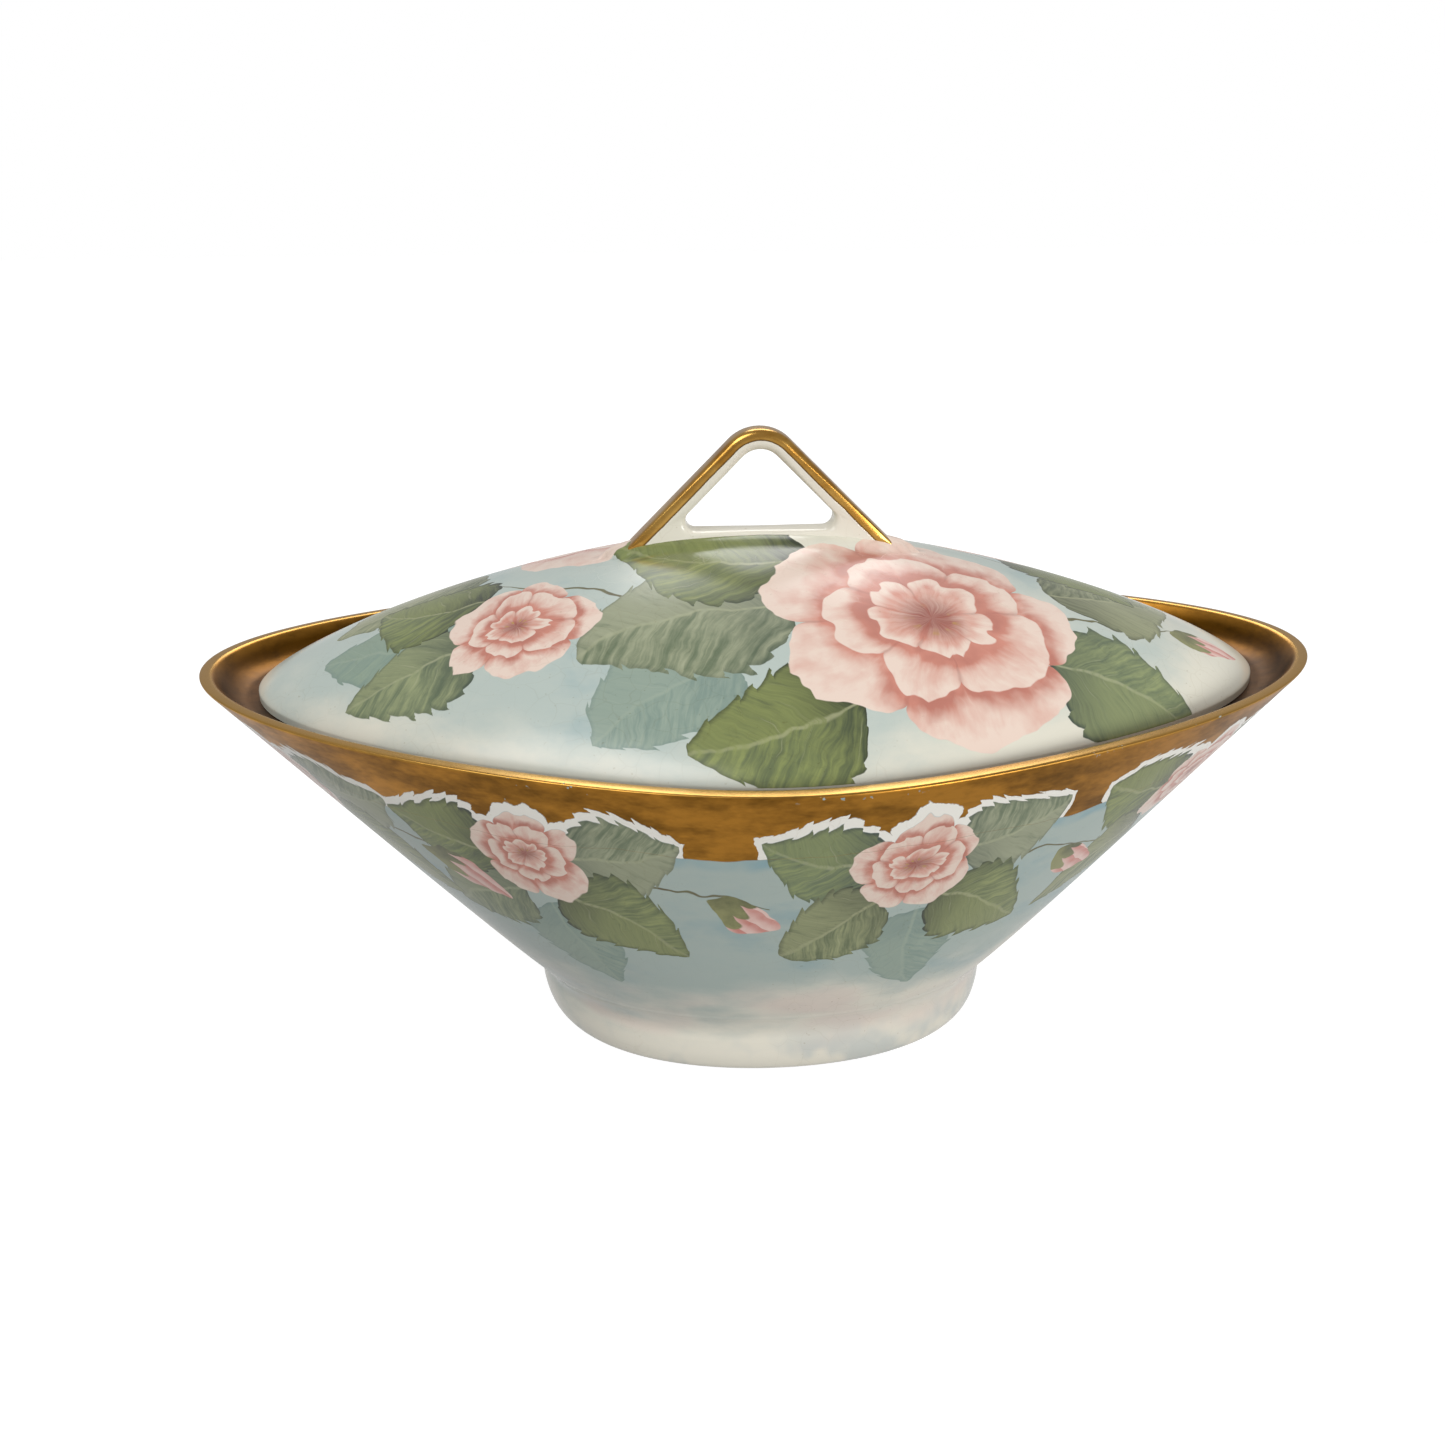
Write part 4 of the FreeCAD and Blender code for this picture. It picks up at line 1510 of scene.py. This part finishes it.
@dataclass
class Lid:
    """Domed lid with a low ridge on its crown."""

    bowl: Bowl = field(default_factory=Bowl)
    edge_height: float = 1.6
    dome_height: float = 30.0
    wall: float = 3.8
    crown_wall: float = 5.6
    flange: float = 3.5
    ridge_half: Half = (33.0, 8.5)
    ridge_root: float = 3.3
    ridge_rise: float = 1.1
    ring_clearance: float = 1.5          # between the locating ring and the well
    ring_wall: float = 3.2
    edge_radius: float = 0.3
    dome_steps: int = 84
    hollow_steps: int = 30

    FIRST_ANGLE = 1.5                    # of the dome's top row, from its pole, in degrees
    DOME_BOW = (1.5, 0.8)                # exponents of the dome's profile
    EDGE_DROPS = (0.5, 1.1, 1.45)        # rows of the edge, below its top

    @property
    def seat_z(self) -> float:
        """Height of the ledge that the lid stands on."""
        return self.bowl.ledge_z

    @property
    def crown_z(self) -> float:
        """Height of the crown."""
        return self.seat_z + self.edge_height + self.dome_height

    @property
    def ring_half(self) -> Half:
        """Half size over the locating ring."""
        return self.bowl.well_half[0] - self.ring_clearance, self.bowl.well_half[1] - self.ring_clearance

    def dome_rows(self, half: Half, base_z: float, height: float, count: int) -> list[np.ndarray]:
        """Rows of a dome, from the crown down.

        Args:
            half: half length and half width at the foot of the dome.
            base_z: height of its foot.
            height: how far it rises.
            count: rows.

        Returns:
            The rows.
        """
        rows = []
        for i in range(count):
            s = math.sin(math.radians(self.FIRST_ANGLE + (90 - self.FIRST_ANGLE) * i / (count - 1)))
            rise = (1 - min(s, 1.0) ** self.DOME_BOW[0]) ** self.DOME_BOW[1]
            shares = RIM_SHARES.towards(CROWN_SHARES, rise)
            rows.append(shares.outline((half[0] * s, half[1] * s), base_z + height * rise))
        return rows

    def with_ridge(self, row: np.ndarray) -> np.ndarray:
        """Raises a row of the dome to the ridge that carries the handle, softly joined."""
        out = row.copy()
        far = (row[:, 0] / self.ridge_half[0]) ** 2 + (row[:, 1] / self.ridge_half[1]) ** 2
        rise = (self.ridge_root + self.ridge_rise) * np.sqrt(np.clip(1 - far, 0, 1))
        ridge = np.where(far < 1, self.crown_z - self.ridge_root + rise, 0.0)
        soft = 0.5
        gap = np.clip(0.5 + 0.5 * (ridge - row[:, 2]) / soft, 0, 1)
        out[:, 2] = row[:, 2] * (1 - gap) + ridge * gap + soft * gap * (1 - gap) * 0.5
        return out

    def build(self) -> None:
        """Makes, paints and dresses the lid."""
        half = self.bowl.lid_half
        edge_z = self.seat_z + self.edge_height
        dome = self.dome_rows(half, edge_z, self.dome_height, self.dome_steps)
        dome = [self.with_ridge(row) for row in dome]
        edge = [RIM_SHARES.outline(half, edge_z - drop) for drop in self.EDGE_DROPS]
        edge.append(RIM_SHARES.outline((half[0] - self.edge_radius, half[1] - self.edge_radius), self.seat_z))
        mouth_half = (self.ring_half[0] - self.ring_wall, self.ring_half[1] - self.ring_wall)
        rises = (0.0, self.flange / 2, self.flange)
        mouth = [RIM_SHARES.outline(mouth_half, self.seat_z + rise) for rise in rises]
        base_z = self.seat_z + self.flange
        hollow_half = (half[0] - self.wall, half[1] - self.wall)
        hollow_height = self.crown_z - self.crown_wall - base_z
        hollow = self.dome_rows(hollow_half, base_z, hollow_height, self.hollow_steps)
        rows = dome + edge + mouth + hollow[::-1]
        piece = Skin("lid_porcelain", rows).mesh_object()
        outside = len(dome) + len(edge) - 1
        painted_rows = [1.0] * outside + [0.0] * (len(rows) - outside)
        store_number(piece.data, "painted", np.repeat(painted_rows, COLUMNS))
        self.paint(piece, dome)
        dress(piece, LidGlaze("lid_painted_glaze"), "lid", "lid")

    @staticmethod
    def paint(piece: bpy.types.Object, dome: list[np.ndarray]) -> None:
        """A spray on each side of the handle; the far one is the near one turned round."""
        canvas = DomeCanvas(piece, dome, 0)
        spray = (
            Mark(Motif.STEM, (2.0, -30.0), 178, 74.0, 0.22),
            Mark(Motif.STEM, (58.0, -22.0), 14, 32.0, -0.30),
            Mark(Motif.STEM, (-26.0, -26.0), 150, 44.0, -0.25),
            Mark(Motif.SHADOW_LEAF, (-8.0, -42.0), 214, 34.0, 0.30),
            Mark(Motif.SHADOW_LEAF, (-60.0, -20.0), 176, 34.0, 0.60),
            Mark(Motif.LEAF, (4.0, -30.0), 192, 44.0, 0.25),
            Mark(Motif.LEAF, (8.0, -15.0), 158, 42.0, 0.85),
            Mark(Motif.LEAF, (54.0, -36.0), 344, 36.0, 0.60),
            Mark(Motif.LEAF, (60.0, -12.0), 24, 36.0, 0.35),
            Mark(Motif.LEAF, (16.0, -50.0), 200, 36.0, 0.75),
            Mark(Motif.LEAF, (-58.0, -28.0), 196, 30.0, 0.50),
            Mark(Motif.LEAF, (-56.0, -12.0), 152, 32.0, 0.90),
            Mark(Motif.BLOSSOM, (32.0, -30.0), 0, 34.0, 0.30),
            Mark(Motif.BLOSSOM, (-50.0, -24.0), 40, 17.0, 0.65),
            Mark(Motif.BUD, (86.0, -14.0), 8, 19.0, 0.40),
        )
        for mark in spray:
            x, y = mark.place
            canvas.paint(mark)
            canvas.paint(Mark(mark.motif, (-x, -y), mark.heading + 180, mark.size, mark.seed))
        canvas.finish()


@dataclass
class LocatingRing:
    """Ring under the lid that drops inside the ledge."""

    lid: Lid = field(default_factory=Lid)
    height: float = 5.0
    taper: float = 0.6
    edge_radius: float = 0.6

    def build(self) -> None:
        """Makes and dresses the ring."""
        wall, low = self.lid.ring_wall, self.height - self.edge_radius
        sides = (
            (0.0, 0.0), (self.taper / 2, self.height / 2), (self.taper, low),
            (self.taper + self.edge_radius, self.height), (wall - self.edge_radius, self.height),
            (wall, low), (wall, 0.0),
        )
        over, across = self.lid.ring_half
        rows = [RIM_SHARES.outline((over - inward, across - inward), self.lid.seat_z - down)
                for inward, down in sides]
        piece = Skin("locating_ring_porcelain", rows, loops_back=True).mesh_object()
        dress(piece, PlainGlaze("plain_glaze"), "lid", "lid_locating_ring")


@dataclass
class Handle:
    """Open triangular loop that stands on the crown."""

    lid: Lid = field(default_factory=Lid)
    half_base: float = 29.9
    height: float = 22.8
    thickness: float = 4.2
    depth: float = 7.0
    apex_radius: float = 9.2
    corner_radius: float = 2.4
    bar_rise: float = 1.5
    root: float = 3.3
    foot_radius: float = 0.6     # of the corners let into the lid
    edge_radius: float = 1.5
    steps: int = 16              # points on each side and corner of the outlines
    edge_steps: int = 4          # steps round each corner of the section

    @property
    def base_z(self) -> float:
        """Height of the foot of the legs, inside the lid."""
        return self.lid.crown_z - self.root

    @staticmethod
    def rounded_outline(corners: list[Vector], radii: list[float], steps: int) -> list[Vector]:
        """Closed outline with rounded corners.

        Args:
            corners: corner points in order, as 2D vectors.
            radii: corner radii.
            steps: points on each side and on each corner.

        Returns:
            The same number of points for any radii, so that two outlines pair up.
        """
        turns = []
        for i, corner in enumerate(corners):
            before, after = corners[i - 1], corners[(i + 1) % len(corners)]
            back, ahead = (before - corner).normalized(), (after - corner).normalized()
            half = back.angle(ahead) / 2
            reach = radii[i] / math.tan(half)
            centre = corner + (back + ahead).normalized() * (radii[i] / math.sin(half))
            start, end = corner + back * reach, corner + ahead * reach
            arc = []
            for k in range(steps + 1):
                t = k / steps
                point = start * (1 - t) + end * t - centre
                arc.append(centre + point.normalized() * radii[i])
            turns.append(arc)
        outline = []
        for i, arc in enumerate(turns):
            outline += arc
            start, end = arc[-1], turns[(i + 1) % len(turns)][0]
            outline += [start.lerp(end, k / steps) for k in range(1, steps)]
        return outline

    @staticmethod
    def refined(line: np.ndarray) -> np.ndarray:
        """A line with more points between each two of its own."""
        steps = 8
        parts = [line[:-1] + np.diff(line, axis=0) * k / steps for k in range(steps)]
        return np.concatenate(parts)

    def outlines(self) -> tuple[list[Vector], list[Vector]]:
        """Outer and inner outline of the loop, in the plane of the handle."""
        crown_z, base_z = self.lid.crown_z, self.base_z
        slope = 1.0
        for _ in range(40):
            sharp = self.apex_radius * (math.sqrt(1 + slope**2) - 1)
            slope = (crown_z + self.height + sharp - base_z) / self.half_base
        apex_z = base_z + slope * self.half_base
        window_z = crown_z + self.bar_rise
        window_apex = apex_z - self.thickness * math.sqrt(1 + slope**2)
        window_half = (window_apex - window_z) / slope
        outer = [Vector((self.half_base, base_z)), Vector((0, apex_z)), Vector((-self.half_base, base_z))]
        inner = [Vector((window_half, window_z)), Vector((0, window_apex)), Vector((-window_half, window_z))]
        outer_radii = [self.foot_radius, self.apex_radius, self.foot_radius]
        inner_radii = [self.corner_radius, self.apex_radius - self.thickness, self.corner_radius]
        return (
            self.rounded_outline(outer, outer_radii, self.steps),
            self.rounded_outline(inner, inner_radii, self.steps),
        )

    def section(self, outer: Vector, inner: Vector) -> list[tuple[float, float, float]]:
        """Rounded section between an outer and an inner point.

        Args:
            outer, inner: points of the two outlines.

        Returns:
            The section's points.
        """
        span = (inner - outer).length
        radius = min(self.edge_radius, span * 0.35)
        half = self.depth / 2
        centres = ((radius, half - radius), (radius, radius - half),
                   (span - radius, radius - half), (span - radius, half - radius))
        points = []
        for quarter, (deep, side) in enumerate(centres):
            for k in range(self.edge_steps + 1):
                angle = math.radians(90 * (1 + quarter + k / self.edge_steps))
                place = outer.lerp(inner, (deep + math.cos(angle) * radius) / span)
                points.append((place.x, side + math.sin(angle) * radius, place.y))
        return points

    def build(self) -> None:
        """Makes and dresses the handle."""
        outer, inner = self.outlines()
        rings = [self.section(a, b) for a, b in zip(outer, inner)]
        count, around = len(rings), len(rings[0])
        points = np.array(rings).reshape(-1, 3)
        vertices = (within(points) * MM).tolist()
        legs = np.array([point for point in outer if point.y > self.base_z + 1.0])
        gaps = np.linalg.norm(points[:, None, [0, 2]] - self.refined(legs)[None], axis=2)
        gilding = 1 - gaps.min(axis=1) / self.thickness
        faces = []
        for i in range(count):
            for k in range(around):
                a, b = i * around + k, i * around + (k + 1) % around
                c, d = ((i + 1) % count) * around + (k + 1) % around, ((i + 1) % count) * around + k
                faces.append((a, b, c, d))
        mesh = bpy.data.meshes.new("handle_porcelain")
        mesh.from_pydata(vertices, [], faces)
        mesh.shade_smooth()
        store_number(mesh, "gilding", gilding)
        piece = bpy.data.objects.new("handle_porcelain", mesh)
        bpy.context.scene.collection.objects.link(piece)
        dress(piece, HandleGilt("handle_gilt_glaze"), "lid", "lid_handle")


# --- studio ---------------------------------------------------------------------
@dataclass
class Camera:
    """Camera in front of the dish and a little to its left, looking down on it."""

    lens: float = 34.88
    distance: float = 310.3
    azimuth: float = -4.29
    elevation: float = 19.12
    yaw: float = 1.50
    pitch: float = -2.52
    aim: tuple[float, float, float] = (0.0, 0.0, 75.0)
    sensor_width: float = 36.0
    clip_start: float = 0.01     # m

    def build(self) -> None:
        """Places the camera and makes it the scene's own."""
        azimuth, elevation = math.radians(self.azimuth), math.radians(self.elevation)
        back = Vector((
            math.sin(azimuth) * math.cos(elevation),
            -math.cos(azimuth) * math.cos(elevation),
            math.sin(elevation),
        ))
        right = Vector((0, 0, 1)).cross(back).normalized()
        up = back.cross(right)
        turn = Matrix.Rotation(math.radians(self.yaw), 3, "Y")
        nod = Matrix.Rotation(math.radians(self.pitch), 3, "X")
        axes = Matrix((right, up, back)).transposed() @ turn @ nod
        data = bpy.data.cameras.new("camera")
        data.lens = self.lens
        data.sensor_width = self.sensor_width
        data.clip_start = self.clip_start
        camera = bpy.data.objects.new("camera", data)
        bpy.context.scene.collection.objects.link(camera)
        place = (Vector(self.aim) + back * self.distance) * MM
        camera.matrix_world = Matrix.Translation(place) @ axes.to_4x4()
        bpy.context.scene.camera = camera


@dataclass
class Studio:
    """White floor, even world light and three soft lamps."""

    floor_size: float = 6.0
    floor_grey: float = 0.30
    floor_glow: float = 0.90
    floor_mirrored: float = 0.55     # share of that glow which the gilding reflects
    world_strength: float = 0.42

    LAMPS = (                        # name, place and side in metres, and watts
        ("lamp_left", (-0.60, -0.60, 1.05), 0.7, 6.4),
        ("lamp_right", (0.70, -0.80, 0.12), 0.4, 6.2),
        ("lamp_back", (0.1, 0.9, 0.9), 0.6, 4.0),
    )
    AIM = (0.0, 0.0, 0.06)           # what they face, in metres

    def lamp(self, name: str, place: Vector, size: float, power: float) -> None:
        """Adds a square lamp that faces the dish.

        Args:
            name: lamp name.
            place: where it is, in metres.
            size: side of its square.
            power: watts.
        """
        data = bpy.data.lights.new(name, "AREA")
        data.shape = "SQUARE"
        data.size = size
        data.energy = power
        lamp = bpy.data.objects.new(name, data)
        bpy.context.scene.collection.objects.link(lamp)
        lamp.location = place
        lamp.rotation_euler = (Vector(self.AIM) - place).to_track_quat("-Z", "Y").to_euler()

    def floor(self) -> None:
        """Large white floor that keeps the dish's shadow."""
        side = self.floor_size / 2
        mesh = bpy.data.meshes.new("floor")
        corners = [(-side, -side, 0), (side, -side, 0), (side, side, 0), (-side, side, 0)]
        mesh.from_pydata(corners, [], [(0, 1, 2, 3)])
        floor = bpy.data.objects.new("floor", mesh)
        bpy.context.scene.collection.objects.link(floor)
        material = bpy.data.materials.new("floor_white")
        material.use_nodes = True
        graph = Graph(material.node_tree)
        material.node_tree.nodes.clear()
        paper = graph.node("ShaderNodeBsdfDiffuse")
        paper.inputs["Color"].default_value = (self.floor_grey, self.floor_grey, self.floor_grey, 1)
        rays = graph.node("ShaderNodeLightPath")
        seen = Signal(graph, rays.outputs["Is Camera Ray"])
        mirrored = Signal(graph, rays.outputs["Is Glossy Ray"])
        glow = graph.node("ShaderNodeEmission")
        strength = graph.most(seen, mirrored * self.floor_mirrored) * self.floor_glow
        graph.feed(glow.inputs["Strength"], strength)
        both = graph.node("ShaderNodeAddShader")
        graph.feed(both.inputs[0], paper.outputs[0])
        graph.feed(both.inputs[1], glow.outputs[0])
        output = graph.node("ShaderNodeOutputMaterial")
        graph.feed(output.inputs["Surface"], both.outputs[0])
        mesh.materials.append(material)
        floor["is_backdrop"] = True

    def world(self) -> None:
        """Even light; white where the camera sees it."""
        world = bpy.data.worlds.new("studio")
        bpy.context.scene.world = world
        world.use_nodes = True
        graph = Graph(world.node_tree)
        background = world.node_tree.nodes["Background"]
        background.inputs["Color"].default_value = (1.0, 1.0, 1.0, 1.0)
        seen = Signal(graph, graph.node("ShaderNodeLightPath").outputs["Is Camera Ray"])
        strength = seen * (1.0 - self.world_strength) + self.world_strength
        graph.feed(background.inputs["Strength"], strength)

    def build(self) -> None:
        """Sets up the studio."""
        scene = bpy.context.scene
        scene.view_settings.view_transform = "Standard"
        self.world()
        self.floor()
        for name, place, size, power in self.LAMPS:
            self.lamp(name, Vector(place), size, power)


def main() -> None:
    """Builds the dish and the studio."""
    logging.basicConfig(level=logging.INFO, format="%(name)s: %(message)s")
    for part in (Bowl(), FootRing(), Lid(), LocatingRing(), Handle()):
        part.build()
    Studio().build()
    Camera().build()
    sizes = {"cad": cad_box, "visual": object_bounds()}
    {name: [list(map(float, corner)) for corner in box] for name, box in sizes.items()}


if __name__ == "__main__":
    main()
